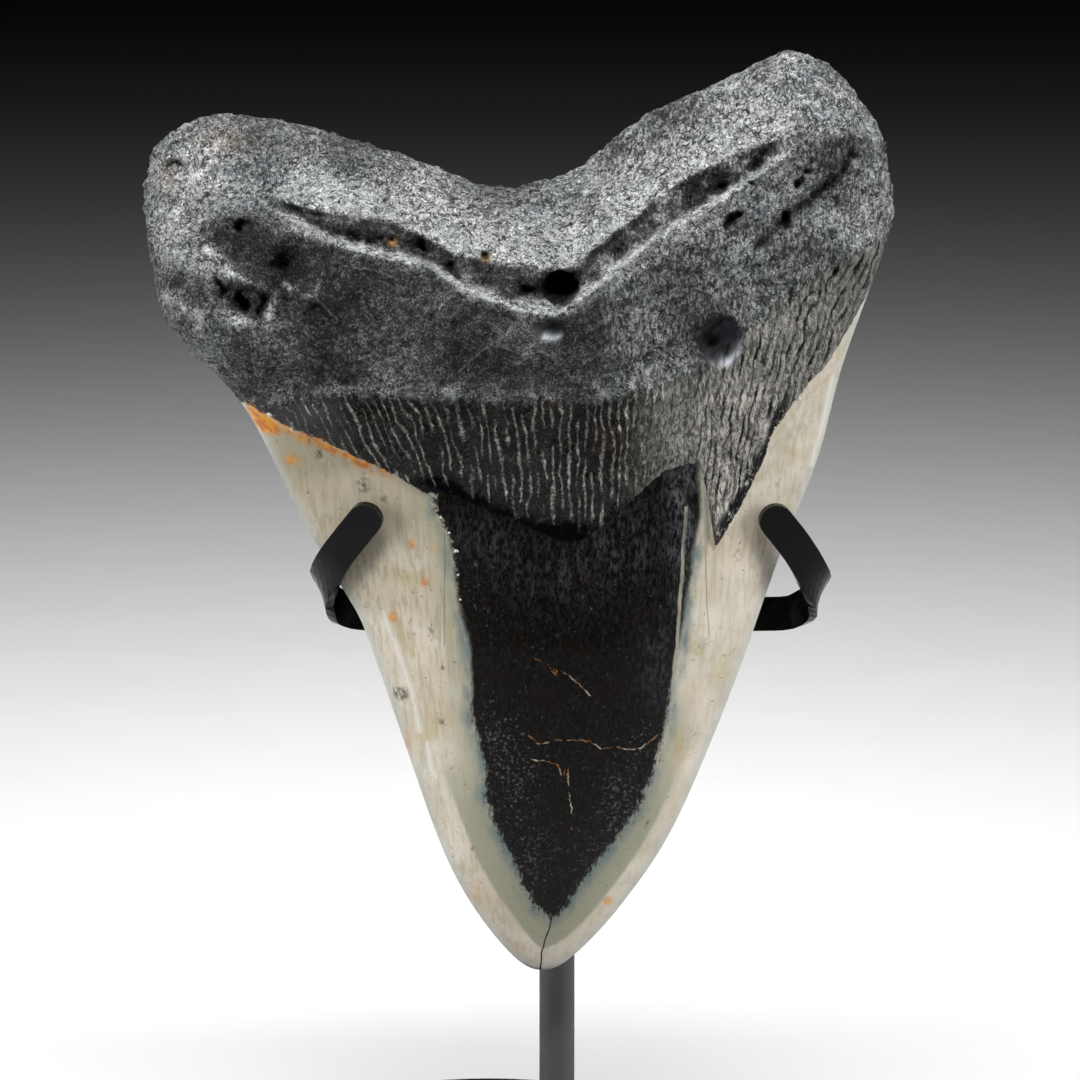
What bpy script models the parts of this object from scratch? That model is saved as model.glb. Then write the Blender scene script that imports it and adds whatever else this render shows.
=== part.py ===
"""A fossil megalodon tooth resting in the two hooks of a small display stand.

Metres, +Z up. The origin is the centre of the base's underside. The tooth hangs tip down in front
of the post, with its bulging lingual face towards -Y. All driving sizes are in millimetres.
"""

import math

import bmesh
import bpy
import numpy as np
from mathutils import Matrix, Vector, noise

MM = 0.001
GAP = 0.3  # clearance kept between pieces that touch

# ---- Stand ----
BASE_RADIUS = 38.0
BASE_HEIGHT = 15.4
BASE_EDGE_ROUND = 2.0
BASE_FOOT_CHAMFER = 1.0
POST_RADIUS = 3.175
POST_PLACE = (12.7, 11.5)  # x, y of the post's axis
POST_TOP = 112.6
POST_SOCKET_DEPTH = 10.0
POST_FLAT_Y = 8.9  # the post's head is filed flat here, where the arms are brazed on
POST_FLAT_HEIGHT = 9.0
STRAP_WIDTH = 5.9
STRAP_THICKNESS = 1.5
STRAP_EDGE_ROUND = 0.25
STRAP_SKIP = 4  # one row of facets for this many points of the smooth centre line
END_ROWS = 6
STRAP_LEVEL = (7.8, 62.9)  # y and z of the straps' level run behind the tooth
# Each hook's centre line from that run to its round end, (x, y, z, lean) from the tooth's tip,
# where lean is how many degrees the strap's width leans outward from upright.
HOOKS = {
    "left_arm": [
        (-30.0, 7.8, 62.9, 0.0), (-33.8, 7.7, 63.3, 0.0), (-36.7, 6.0, 65.0, 10.0),
        (-38.6, 1.0, 68.9, 25.0), (-36.9, -4.0, 73.8, 45.0), (-34.2, -6.6, 77.9, 51.0),
        (-30.6, -9.2, 82.6, 51.0),
    ],
    "right_arm": [
        (34.0, 7.8, 62.9, 0.0), (39.0, 7.8, 62.9, 0.0), (43.8, 7.2, 63.3, 0.0),
        (47.2, 4.6, 65.6, 12.0), (48.2, 1.0, 68.4, 25.0), (46.9, -2.2, 71.9, 40.0),
        (44.3, -4.2, 76.5, 52.0), (40.3, -6.0, 81.8, 52.0),
    ],
}

# ---- Tooth ----
TOOTH_TIP = (10.2, 0.0, 45.8)  # where the crown's tip stands in the frame above
TRIANGLES_IN_TOOTH = 7200
GRID_CELLS = 170

# The tooth's outline seen from the front, (x, z) from the tip, anticlockwise from the tip.
OUTLINE = [
    (0.0, 0.0), (3.9, 1.5), (9.2, 6.4), (14.5, 12.8),
    (20.7, 21.9), (26.0, 32.7), (33.8, 52.5), (41.3, 74.4), (47.8, 91.6), (51.8, 107.3),
    (56.8, 121.5), (60.2, 131.5), (60.7, 137.5),
    (59.3, 144.8), (57.3, 150.5), (51.5, 158.4), (45.8, 161.5), (40.6, 162.0), (29.2, 156.5),
    (17.0, 150.8), (6.1, 142.3), (-1.2, 139.6), (-6.1, 138.9), (-12.2, 139.9),
    (-26.0, 144.9), (-41.3, 149.4), (-54.1, 151.5), (-61.0, 150.4), (-65.9, 147.4),
    (-68.2, 143.6), (-69.3, 136.0), (-68.1, 126.6), (-66.1, 117.5), (-62.3, 111.8),
    (-51.9, 100.7), (-42.5, 81.8), (-35.2, 68.9), (-31.3, 61.4), (-25.2, 43.5),
    (-19.1, 25.5), (-14.7, 15.5), (-9.4, 7.3), (-4.1, 1.5),
]
RIGHT_LOW, RIGHT_HIGH, LEFT_HIGH, LEFT_LOW = 4, 13, 29, 39  # outline points at the grid's corners
CURVE_STEPS = 12  # points on each span of a smooth curve

# Thickness of the tooth, in front of and behind its rim, at heights above the tip.
CROWN_HEIGHTS = [0.0, 30.0, 60.0, 80.0, 95.0, 106.0]
CROWN_FULLNESS_FRONT = [0.40, 0.42, 0.385, 0.33, 0.275, 0.27]
CROWN_FULLNESS_BACK = [0.20, 0.20, 0.195, 0.19, 0.185, 0.185]
BEVEL_WIDTH = 4.0  # the polished bevel along the crown's margins
BEVEL_LIFT = 0.5
ROOT_FRONT = 15.8  # thickness of the root ahead of the rim, at the crest under the furrow
ROOT_BULGE = 4.2  # more round the central hole, falling away over this reach to either side
ROOT_BULGE_MIDDLE = 2.0
ROOT_BULGE_REACH = 27.0
ROOT_LOBE_LOSS = 2.6  # less at this distance from the middle, out on the lobes
LOBE_REACH = 65.0
ROOT_OVERHANG = 0.17  # how far the root draws back for each millimetre below its crest
ROOT_REACH = 24.0  # and how far down it goes on doing so
ROOT_SLOPE = 0.7  # share of a straight slope, the rest round, from the crest up to the rim
ROOT_BACK = 10.0  # thickness of the root behind the rim
ROOT_BACK_SWELL = 1.5  # more above these two heights
ROOT_BACK_SWELL_FROM = (104.0, 124.0)
ROOT_BACK_LOBE_LOSS = 2.0
ROOT_SIDE_ROUND = 13.0
ROOT_BACK_TOP_ROUND = 9.0
RIM_LEAN = 4.5  # the root's upper rim lies this far behind the crown's plane
ROOT_LUMP = 0.75  # height and size of the root's lumps
ROOT_LUMP_SIZE = 11.0
ROOT_GRAIN = 0.3
ROOT_GRAIN_SIZE = 3.6
ROOT_STEP = 0.7  # the root's edge stands this proud of the polished crown
ROOT_STEP_ENDS = [(-20.0, 1.0), (-15.0, 0.0), (25.0, 0.0), (30.0, 1.0)]  # its share at places across
ROOT_FOOT = [(-70.0, 100.0), (-52.0, 96.0), (38.0, 96.0), (58.0, 116.0)]  # the root swells from here

# The line along which the root stands furthest forward.
CREST = [
    (-72.0, 121.0), (-60.0, 122.0), (-50.0, 126.0), (-43.9, 133.0), (-36.7, 130.6), (-30.6, 129.0),
    (-19.4, 126.6), (-13.3, 122.8), (-5.0, 120.0), (2.9, 119.0), (11.0, 124.8), (18.5, 131.0),
    (28.6, 136.7), (36.9, 142.3), (43.7, 147.5), (52.0, 149.0), (62.0, 146.0),
]

# The root meets the crown on this line of the lingual face.
CROWN_LINE = [
    (-70.0, 121.6), (-66.0, 118.8), (-61.5, 113.0), (-55.0, 105.8), (-51.2, 102.0), (-45.2, 98.9),
    (-37.8, 96.0), (-32.1, 93.2), (-27.1, 91.0), (-20.3, 87.2), (-16.0, 87.2), (-9.8, 84.8),
    (-4.9, 83.0), (0.2, 80.4), (3.8, 79.2), (7.2, 79.6), (12.3, 83.6), (17.0, 87.8), (20.6, 91.2),
    (25.4, 92.4), (27.0, 85.0), (28.9, 77.4), (34.1, 83.9), (38.2, 92.5), (39.5, 97.2),
    (43.8, 103.5), (49.1, 109.0), (53.0, 115.3), (57.5, 123.0), (64.0, 130.0),
]
# The same line on the labial face.
LABIAL_LINE = [
    (-70.0, 112.0), (-50.0, 107.5), (-25.0, 103.5), (0.0, 102.5), (20.0, 105.0), (40.0, 112.0),
    (57.0, 121.0), (64.0, 126.0),
]
BOURLETTE_TOP = 103.6  # height of the ledge over the ridged band between root and crown
BOURLETTE_REACH = 12.0  # the band runs out to the crown's level this far below the ledge
BOURLETTE_ENDS = [(-40.0, 0.0), (-36.0, 1.0), (22.0, 1.0), (26.0, 0.0)]
BOURLETTE_STEP = 0.6
# The long furrow either side of the central hole, from the lip under it to its upper edge.
LIP = [
    (-43.9, 135.6), (-36.7, 131.0), (-30.6, 129.2), (-19.4, 126.8), (-13.3, 122.8), (-5.0, 120.0),
    (2.9, 119.0), (11.0, 124.8), (18.5, 131.0), (28.6, 136.7), (36.9, 142.3), (43.7, 147.5),
]
LIP_WIDTH = 0.9
LIP_HEIGHT = 0.45
FURROW_TOP = [
    (-45.5, 137.5), (-37.9, 135.8), (-26.8, 134.3), (-19.2, 131.2), (-15.0, 128.5), (-7.3, 127.0),
    (-0.5, 126.1), (5.4, 126.8), (9.7, 130.5), (16.5, 135.6), (22.4, 140.2), (30.9, 144.6),
    (42.2, 148.9),
]
FURROW_DEPTH = 3.0
FURROW_FLOOR = 0.25  # where between those two lines the furrow is deepest
FURROW_ENDS = [(-46.0, 0.0), (-37.0, 1.0), (36.0, 1.0), (44.0, 0.0)]  # it fades out at both ends
LOBE_CRACK = [(36.4, 129.8), (40.8, 134.1), (50.9, 142.1), (52.6, 145.3)]
LOBE_CRACK_WIDTH = 1.3
LOBE_CRACK_DEPTH = 1.5
# Holes of the lingual face, the central one first: x, z, half-width, half-height, depth.
HOLES = [
    (2.9, 122.9, 3.4, 3.0, 7.0), (-51.6, 120.3, 1.3, 1.7, 2.0), (-48.4, 119.7, 0.9, 1.5, 1.8),
    (-55.3, 123.0, 1.3, 1.5, 1.6), (-52.0, 132.6, 1.0, 1.0, 1.6), (-63.6, 143.4, 1.6, 1.1, 1.4),
    (35.7, 140.3, 1.1, 1.1, 1.8), (32.4, 134.2, 1.7, 1.3, 2.0), (45.0, 143.4, 0.8, 0.8, 1.4),
    (43.4, 141.0, 0.8, 0.8, 1.4), (-25.8, 131.0, 1.0, 0.9, 1.2), (-9.8, 128.2, 1.2, 1.2, 1.6),
    (-20.5, 129.2, 1.6, 1.2, 1.5), (-16.3, 126.9, 1.2, 1.0, 1.4), (-3.0, 122.6, 2.2, 1.0, 1.6),
    (41.0, 134.4, 1.1, 1.6, 2.0), (-45.0, 126.6, 1.3, 2.0, 1.6), (50.6, 125.0, 0.9, 1.1, 1.0),
]
# Shallow bowls of the lingual face, in the same form.
DENTS = [
    (29.4, 113.6, 4.0, 4.6, 1.5), (27.6, 113.0, 1.8, 2.4, 0.7), (0.9, 116.3, 3.2, 2.0, 0.9),
    (4.6, 136.0, 2.8, 2.2, 0.8), (30.4, 145.4, 2.9, 2.2, 0.8), (50.0, 134.4, 5.0, 4.2, 1.1),
    (-66.2, 130.6, 2.2, 4.0, 0.6), (-10.2, 131.6, 1.9, 2.4, 0.5), (-53.8, 131.2, 4.2, 3.4, 1.6),
    (-50.4, 127.2, 3.4, 3.0, 1.4), (-43.4, 125.4, 3.8, 4.0, 1.3), (-60.0, 122.6, 4.2, 3.6, 0.9),
    (-52.6, 121.0, 4.4, 3.6, 0.9), (-13.5, 110.5, 2.0, 3.6, 0.6), (36.9, 120.0, 1.9, 1.6, 0.6),
    (35.6, 126.0, 2.4, 1.6, 0.7), (12.5, 110.0, 3.0, 2.0, 0.5), (46.0, 129.0, 1.6, 2.6, 0.7),
]
# Shallow bowls of the labial face, where the root is shallow and pitted.
BACK_DENTS = [
    (-2.0, 121.0, 15.0, 9.0, 1.5), (-38.0, 128.0, 5.0, 4.0, 1.2), (34.0, 131.0, 4.5, 5.0, 1.2),
    (-20.0, 131.0, 2.4, 2.0, 1.2), (14.0, 133.0, 2.0, 2.4, 1.2), (-54.0, 138.0, 3.0, 2.6, 1.1),
    (46.0, 145.0, 3.2, 2.6, 1.1), (-29.0, 118.0, 1.8, 1.6, 1.0), (24.0, 120.0, 1.8, 1.6, 1.0),
]


# ---- Small tools ----
def start_empty():
    """Removes whatever the file opened with and returns the collections for parts and cutters."""
    for old in list(bpy.data.objects):
        bpy.data.objects.remove(old, do_unlink=True)
    made = []
    for name in ("megalodon_tooth_on_stand", "cutters"):
        collection = bpy.data.collections.new(name)
        bpy.context.scene.collection.children.link(collection)
        made.append(collection)
    return made


def finish(name, colour, roughness, metallic=0.0):
    """A Principled material with one colour."""
    material = bpy.data.materials.new(name)
    material.use_nodes = True
    shader = material.node_tree.nodes["Principled BSDF"]
    shader.inputs["Base Color"].default_value = (*colour, 1.0)
    shader.inputs["Roughness"].default_value = roughness
    shader.inputs["Metallic"].default_value = metallic
    return material


def add_object(name, mesh_source, collection, material=None):
    """Makes an object of a bmesh worked in millimetres, scaled here to metres."""
    bmesh.ops.scale(mesh_source, vec=(MM, MM, MM), verts=mesh_source.verts)
    mesh = bpy.data.meshes.new(name)
    mesh_source.to_mesh(mesh)
    mesh_source.free()
    made = bpy.data.objects.new(name, mesh)
    collection.objects.link(made)
    if material:
        mesh.materials.append(material)
    return made


def cut(target, cutter):
    """Takes the cutter's shape out of the target."""
    cutter.hide_render = True
    cutter.display_type = "WIRE"
    boolean = target.modifiers.new("cut_" + cutter.name, "BOOLEAN")
    boolean.operation = "DIFFERENCE"
    boolean.solver = "EXACT"
    boolean.object = cutter


def smooth_step(low, high, value):
    """0 below low, 1 above high and a smooth rise between."""
    t = np.clip((value - low) / (high - low), 0.0, 1.0)
    return t * t * (3.0 - 2.0 * t)


def smooth_curve(points, closed=False):
    """A Catmull-Rom curve, as CURVE_STEPS points for each span between the given points."""
    p = np.array(points, dtype=float)
    if closed:
        before, here, after, beyond = np.roll(p, 1, 0), p, np.roll(p, -1, 0), np.roll(p, -2, 0)
    else:
        p = np.vstack([2 * p[0] - p[1], p, 2 * p[-1] - p[-2]])
        before, here, after, beyond = p[:-3], p[1:-2], p[2:-1], p[3:]
    t = (np.arange(CURVE_STEPS) / CURVE_STEPS)[None, :, None]
    b, p, a, f = (q[:, None, :] for q in (before, here, after, beyond))
    curve = 0.5 * (
        2 * p + (a - b) * t + (2 * b - 5 * p + 4 * a - f) * t**2 + (3 * p - b - 3 * a + f) * t**3
    )
    curve = curve.reshape(-1, curve.shape[-1])
    return curve if closed else np.vstack([curve, after[-1]])


def along(curve, share):
    """Points at the given shares of a polyline's length."""
    steps = np.hypot(*np.diff(curve, axis=0).T)
    length = np.concatenate([[0.0], np.cumsum(steps)])
    return np.stack([np.interp(share * length[-1], length, curve[:, k]) for k in (0, 1)], axis=-1)


def distance_to(line, x, z):
    """Distance from each (x, z) to a polyline."""
    line = np.array(line, dtype=float)
    best = np.full(x.shape, 1e9)
    for (x0, z0), (x1, z1) in zip(line[:-1], line[1:]):
        run, rise = x1 - x0, z1 - z0
        t = np.clip(((x - x0) * run + (z - z0) * rise) / (run * run + rise * rise), 0.0, 1.0)
        best = np.minimum(best, np.hypot(x - x0 - t * run, z - z0 - t * rise))
    return best


def lumps(x, y, z, size):
    """Perlin noise, between about -1 and 1, over points given in millimetres."""
    points = np.stack([x / size, y / size, z / size], axis=-1).reshape(-1, 3)
    values = [2.0 * noise.noise(Vector(p)) for p in points]
    return np.array(values).reshape(x.shape)


# ---- Tooth ----
def outline_curves():
    """The outline's right side, top, left side and tip, each from left to right or upward."""
    curve = smooth_curve(OUTLINE, closed=True)
    low_right, high_right, high_left, low_left = (
        CURVE_STEPS * k for k in (RIGHT_LOW, RIGHT_HIGH, LEFT_HIGH, LEFT_LOW)
    )
    right = curve[low_right : high_right + 1]
    top = curve[high_right : high_left + 1][::-1]
    left = curve[high_left : low_left + 1][::-1]
    tip = np.concatenate([curve[low_left:], curve[: low_right + 1]])
    return right, top, left, tip


def spread(cells):
    """Even steps from 0 to 1 drawn closer together at both ends."""
    t = np.linspace(0.0, 1.0, cells + 1)
    return 0.45 * t + 0.55 * (0.5 - 0.5 * np.cos(math.pi * t))


def outline_grid(cells):
    """A grid of (x, z) places that fills the outline, between its four sides."""
    right, top, left, tip = outline_curves()
    across, up = spread(cells), spread(cells)
    u, v = across[None, :, None], up[:, None, None]
    tip_row, top_row = along(tip, across)[None], along(top, across)[None]
    left_column, right_column = along(left, up)[:, None], along(right, up)[:, None]
    corners = (
        (1 - u) * (1 - v) * tip[0] + u * (1 - v) * tip[-1] + (1 - u) * v * top[0] + u * v * top[-1]
    )
    sides = (1 - u) * left_column + u * right_column
    return (1 - v) * tip_row + v * top_row + sides - corners


def rim_distances(x, z):
    """Distance to the outline's left and right sides, down to the tip, and to its top."""
    right, top, left, tip = outline_curves()
    middle = int(np.argmin(tip[:, 1]))
    left_side = np.concatenate([left[::-1], tip[1 : middle + 1]])
    right_side = np.concatenate([right[::-1], tip[middle:-1][::-1]])
    return distance_to(left_side, x, z), distance_to(right_side, x, z), distance_to(top, x, z)


def rounded(distance, radius):
    """The profile of a round edge: 0 at the rim, 1 from one radius inside it."""
    t = 1.0 - np.clip(distance / radius, 0.0, 1.0)
    return np.sqrt(1.0 - t * t)


def at(line, x):
    """The value at each x of a line given as (x, value) points."""
    return np.interp(x, *np.array(line).T)


def groove(line, x, z, width):
    """1 on a line over the face, falling away to its sides."""
    return np.exp(-((distance_to(line, x, z) / width) ** 2))


def bowls(places, x, z):
    """Sharp-rimmed hollows at the given places, as a depth over each (x, z)."""
    depth = np.zeros_like(x)
    for px, pz, half_width, half_height, deep in places:
        inside = ((x - px) / half_width) ** 2 + ((z - pz) / half_height) ** 2
        depth += deep * np.clip(1.0 - inside, 0.0, 1.0) ** 0.8
    return depth


def front_relief(x, z):
    """Furrow, lip, holes, crack, dents and ledges of the lingual face, outward positive."""
    climb = (z - at(LIP, x)) / np.maximum(at(FURROW_TOP, x) - at(LIP, x), 0.5)
    fall, rise = climb / FURROW_FLOOR, (1.0 - climb) / (1.0 - FURROW_FLOOR)
    notch = FURROW_DEPTH * np.clip(np.minimum(fall, rise), 0.0, 1.0)
    uneven = at(FURROW_ENDS, x) * (1.0 + 0.45 * lumps(x, 0.0 * x + 20.0, z, 4.0))
    relief = uneven * (LIP_HEIGHT * groove(LIP, x, z, LIP_WIDTH) - notch)
    relief -= LOBE_CRACK_DEPTH * groove(LOBE_CRACK, x, z, LOBE_CRACK_WIDTH)
    relief -= bowls(HOLES, x, z) + bowls(DENTS, x, z)
    relief += ROOT_STEP * at(ROOT_STEP_ENDS, x) * smooth_step(-0.8, 0.8, z - at(CROWN_LINE, x))
    over_ledge = smooth_step(-0.8, 0.8, z - BOURLETTE_TOP)
    in_band = smooth_step(-BOURLETTE_REACH, 0.0, z - BOURLETTE_TOP) * at(BOURLETTE_ENDS, x)
    return relief - BOURLETTE_STEP * in_band * (1.0 - over_ledge)


def tooth_faces(x, z):
    """The y of the lingual face, the rim and the labial face over each (x, z)."""
    left, right, top = rim_distances(x, z)
    side = np.minimum(left, right)
    breadth = 2.0 * left * right / np.maximum(left + right, 1e-6)
    bevel = BEVEL_LIFT * (1.0 - np.exp(-side / (0.5 * BEVEL_WIDTH)))

    crown_front = np.interp(z, CROWN_HEIGHTS, CROWN_FULLNESS_FRONT) * breadth + bevel
    crown_back = np.interp(z, CROWN_HEIGHTS, CROWN_FULLNESS_BACK) * breadth

    crest = at(CREST, x)
    root_front = ROOT_FRONT + ROOT_BULGE * np.exp(-(((x - ROOT_BULGE_MIDDLE) / ROOT_BULGE_REACH) ** 2))
    root_front -= ROOT_LOBE_LOSS * (x / LOBE_REACH) ** 2
    root_front -= ROOT_OVERHANG * np.clip(crest - z, 0.0, ROOT_REACH)
    over = np.maximum(z - crest, 0.0)
    climb = over / np.maximum(over + top, 1e-6)
    slope = ROOT_SLOPE * (1.0 - climb) + (1.0 - ROOT_SLOPE) * np.sqrt(1.0 - climb**2)
    root_front *= slope * rounded(side, ROOT_SIDE_ROUND)
    root_back = ROOT_BACK + ROOT_BACK_SWELL * smooth_step(*ROOT_BACK_SWELL_FROM, z)
    root_back -= ROOT_BACK_LOBE_LOSS * (x / LOBE_REACH) ** 2
    root_back *= rounded(side, ROOT_SIDE_ROUND) * rounded(top, ROOT_BACK_TOP_ROUND)

    front_share = smooth_step(-7.0, 8.0, z - at(ROOT_FOOT, x))
    back_share = smooth_step(-5.0, 6.0, z - at(LABIAL_LINE, x))
    front = crown_front + (root_front - crown_front) * front_share
    back = crown_back + (root_back - crown_back) * back_share

    thin_rim = smooth_step(0.0, 3.0, np.minimum(side, top))
    root_share = smooth_step(-2.0, 4.0, z - at(CROWN_LINE, x))
    rough = ROOT_LUMP * lumps(x, 0.0 * x, z, ROOT_LUMP_SIZE)
    rough += ROOT_GRAIN * lumps(x, 0.0 * x + 40.0, z, ROOT_GRAIN_SIZE)
    front = front + thin_rim * (front_relief(x, z) + rough * root_share)
    rough = ROOT_LUMP * lumps(x, 0.0 * x + 80.0, z, ROOT_LUMP_SIZE)
    root_share = smooth_step(0.0, 5.0, z - at(LABIAL_LINE, x))
    back = back + thin_rim * (rough * root_share - bowls(BACK_DENTS, x, z))

    rim = RIM_LEAN * smooth_step(100.0, 150.0, z)
    return rim - np.maximum(front, 0.0), rim, rim + np.maximum(back, 0.0)


def make_tooth(parts):
    """The tooth: two grids shaped to its faces and welded at the rim, thinned to flat facets."""
    places = outline_grid(GRID_CELLS)
    x, z = places[..., 0], places[..., 1]
    front, rim, back = tooth_faces(x, z)
    edge = np.ones(x.shape, dtype=bool)
    edge[1:-1, 1:-1] = False
    tooth = bmesh.new()
    for face_y, faces_front in ((front, True), (back, False)):
        bmesh.ops.create_grid(tooth, x_segments=GRID_CELLS, y_segments=GRID_CELLS, size=0.5)
        tooth.verts.ensure_lookup_table()
        fresh = tooth.verts[-((GRID_CELLS + 1) ** 2) :]
        face_y = np.where(edge, rim, face_y)
        for vertex in fresh:
            column = round((vertex.co.x + 0.5) * GRID_CELLS)
            row = round((vertex.co.y + 0.5) * GRID_CELLS)
            vertex.co = (x[row, column], face_y[row, column], z[row, column])
        if not faces_front:
            used = {face for vertex in fresh for face in vertex.link_faces}
            bmesh.ops.reverse_faces(tooth, faces=list(used))
    bmesh.ops.remove_doubles(tooth, verts=tooth.verts, dist=0.001)
    bmesh.ops.recalc_face_normals(tooth, faces=tooth.faces)
    bmesh.ops.translate(tooth, vec=TOOTH_TIP, verts=tooth.verts)
    triangles = 2 * len(tooth.faces)
    made = add_object("tooth", tooth, parts, finish("tooth_finish", (0.16, 0.155, 0.145), 0.4))
    thin = made.modifiers.new("facets", "DECIMATE")
    thin.decimate_type = "COLLAPSE"
    thin.ratio = TRIANGLES_IN_TOOTH / triangles
    thin.use_collapse_triangulate = True
    made.data.shade_smooth()
    return made


# ---- Stand ----
def strap_rows(name):
    """Rows across one strap's middle surface, from the post to the round end."""
    hook = np.array(HOOKS[name])
    side = math.copysign(1.0, hook[-1, 0])
    post_x = POST_PLACE[0] - TOOTH_TIP[0] + side * GAP / 2
    start = np.array([(post_x, *STRAP_LEVEL, 0.0)])
    line = np.vstack([start, smooth_curve(hook)[::STRAP_SKIP]])
    middle, lean = line[:, :3], np.radians(line[:, 3])
    ahead = np.gradient(middle, axis=0)
    ahead /= np.linalg.norm(ahead, axis=1)[:, None]
    width = np.stack([side * np.sin(lean), 0.0 * lean, np.cos(lean)], axis=1)
    width -= np.sum(width * ahead, axis=1)[:, None] * ahead
    width /= np.linalg.norm(width, axis=1)[:, None]
    half = STRAP_WIDTH / 2
    rows = [(m, w * half) for m, w in zip(middle, width)]
    for k in range(1, END_ROWS + 1):
        angle = math.pi / 2 * k / END_ROWS
        reach = middle[-1] + ahead[-1] * half * math.sin(angle)
        rows.append((reach, width[-1] * half * math.cos(angle)))
    return [[m + w * share for share in (-1.0, -0.5, 0.0, 0.5, 1.0)] for m, w in rows]


def make_arm(name, parts):
    """One flat strap, from the post round the tooth's edge to its round end."""
    arm = bmesh.new()
    rows = [[arm.verts.new(point) for point in row] for row in strap_rows(name)]
    for near, far in zip(rows[:-1], rows[1:]):
        for k in range(len(near) - 1):
            arm.faces.new((near[k], near[k + 1], far[k + 1], far[k]))
    bmesh.ops.remove_doubles(arm, verts=arm.verts, dist=0.001)
    bmesh.ops.translate(arm, vec=TOOTH_TIP, verts=arm.verts)
    made = add_object(name, arm, parts, finish(name + "_paint", (0.012, 0.012, 0.012), 0.22))
    thick = made.modifiers.new("thickness", "SOLIDIFY")
    thick.thickness = STRAP_THICKNESS * MM
    thick.offset = 0.0
    soften = made.modifiers.new("edges", "BEVEL")
    soften.width = STRAP_EDGE_ROUND * MM
    soften.segments = 1
    soften.limit_method = "ANGLE"
    soften.angle_limit = math.radians(40.0)
    made.data.shade_smooth()
    return made


def make_base(parts, cutters):
    """The turned wooden foot, with the post's socket."""
    base = bmesh.new()
    lower = Matrix.Translation((0.0, 0.0, BASE_HEIGHT / 2))
    bmesh.ops.create_cone(
        base, cap_ends=True, segments=64, radius1=BASE_RADIUS, radius2=BASE_RADIUS,
        depth=BASE_HEIGHT, matrix=lower,
    )
    top_rim = [e for e in base.edges if all(v.co.z > BASE_HEIGHT - 0.01 for v in e.verts)]
    foot_rim = [e for e in base.edges if all(v.co.z < 0.01 for v in e.verts)]
    for rim, width, segments in ((top_rim, BASE_EDGE_ROUND, 4), (foot_rim, BASE_FOOT_CHAMFER, 1)):
        bmesh.ops.bevel(
            base, geom=rim, offset=width, segments=segments, profile=0.5, affect="EDGES"
        )
    made = add_object("base", base, parts, finish("base_lacquer", (0.03, 0.018, 0.012), 0.35))
    socket = bmesh.new()
    middle = (*POST_PLACE, BASE_HEIGHT - POST_SOCKET_DEPTH / 2 + 1.0)
    bmesh.ops.create_cone(
        socket, cap_ends=True, segments=32, radius1=POST_RADIUS + GAP, radius2=POST_RADIUS + GAP,
        depth=POST_SOCKET_DEPTH + 2.0, matrix=Matrix.Translation(middle),
    )
    cut(made, add_object("socket_cutter", socket, cutters))
    made.data.set_sharp_from_angle(angle=math.radians(35.0))
    return made


def make_post(parts, cutters):
    """The round rod, its head filed flat on the side that carries the arms."""
    bottom = BASE_HEIGHT - POST_SOCKET_DEPTH + GAP
    post = bmesh.new()
    middle = (*POST_PLACE, (bottom + POST_TOP) / 2)
    bmesh.ops.create_cone(
        post, cap_ends=True, segments=32, radius1=POST_RADIUS, radius2=POST_RADIUS,
        depth=POST_TOP - bottom, matrix=Matrix.Translation(middle),
    )
    head = [e for e in post.edges if all(v.co.z > POST_TOP - 0.01 for v in e.verts)]
    bmesh.ops.bevel(post, geom=head, offset=0.6, segments=2, profile=0.5, affect="EDGES")
    made = add_object("post", post, parts, finish("post_paint", (0.03, 0.03, 0.03), 0.5))
    flat = bmesh.new()
    size = 4 * POST_RADIUS
    place = (POST_PLACE[0], POST_FLAT_Y - size / 2, POST_TOP - POST_FLAT_HEIGHT + size / 2)
    bmesh.ops.create_cube(flat, size=size, matrix=Matrix.Translation(place))
    cut(made, add_object("head_cutter", flat, cutters))
    made.data.set_sharp_from_angle(angle=math.radians(35.0))
    return made


def main():
    parts, cutters = start_empty()
    make_tooth(parts)
    for name in HOOKS:
        make_arm(name, parts)
    make_post(parts, cutters)
    make_base(parts, cutters)


main()
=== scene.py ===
"""The looks of a fossil megalodon tooth on its small stand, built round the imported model.

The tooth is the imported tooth's own form worked out on a finer grid, with the fine relief that the
solid leaves out. Its driving sizes are millimetres in the tooth's own frame: x to the right and z
upward from the crown's tip, y away from the lingual face. Everything else is in metres.
"""

import math

import bmesh
import bpy
import numpy as np
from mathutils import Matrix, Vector, noise


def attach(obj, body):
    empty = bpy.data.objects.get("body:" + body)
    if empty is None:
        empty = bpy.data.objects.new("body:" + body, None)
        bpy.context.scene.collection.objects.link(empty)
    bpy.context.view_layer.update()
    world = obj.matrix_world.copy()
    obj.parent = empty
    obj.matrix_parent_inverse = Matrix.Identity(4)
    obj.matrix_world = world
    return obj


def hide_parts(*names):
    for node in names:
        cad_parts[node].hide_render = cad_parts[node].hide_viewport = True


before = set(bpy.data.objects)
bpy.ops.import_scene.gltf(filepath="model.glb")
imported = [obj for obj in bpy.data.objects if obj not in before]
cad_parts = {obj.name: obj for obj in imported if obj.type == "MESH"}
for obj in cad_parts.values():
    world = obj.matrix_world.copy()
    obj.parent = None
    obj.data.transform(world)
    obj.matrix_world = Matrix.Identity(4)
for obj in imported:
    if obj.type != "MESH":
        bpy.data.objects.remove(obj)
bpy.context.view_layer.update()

MM = 0.001

# ---- Camera and studio, in metres ----
CAMERA_TARGET = (0.00964, 0.0, 0.1232)
CAMERA_DISTANCE = 0.750
CAMERA_ELEVATION = 9.0
FRAME_HALF_WIDTH = 0.0945  # what the square picture shows at the target, from its middle
FLOOR_SIDE = 16.0

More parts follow.
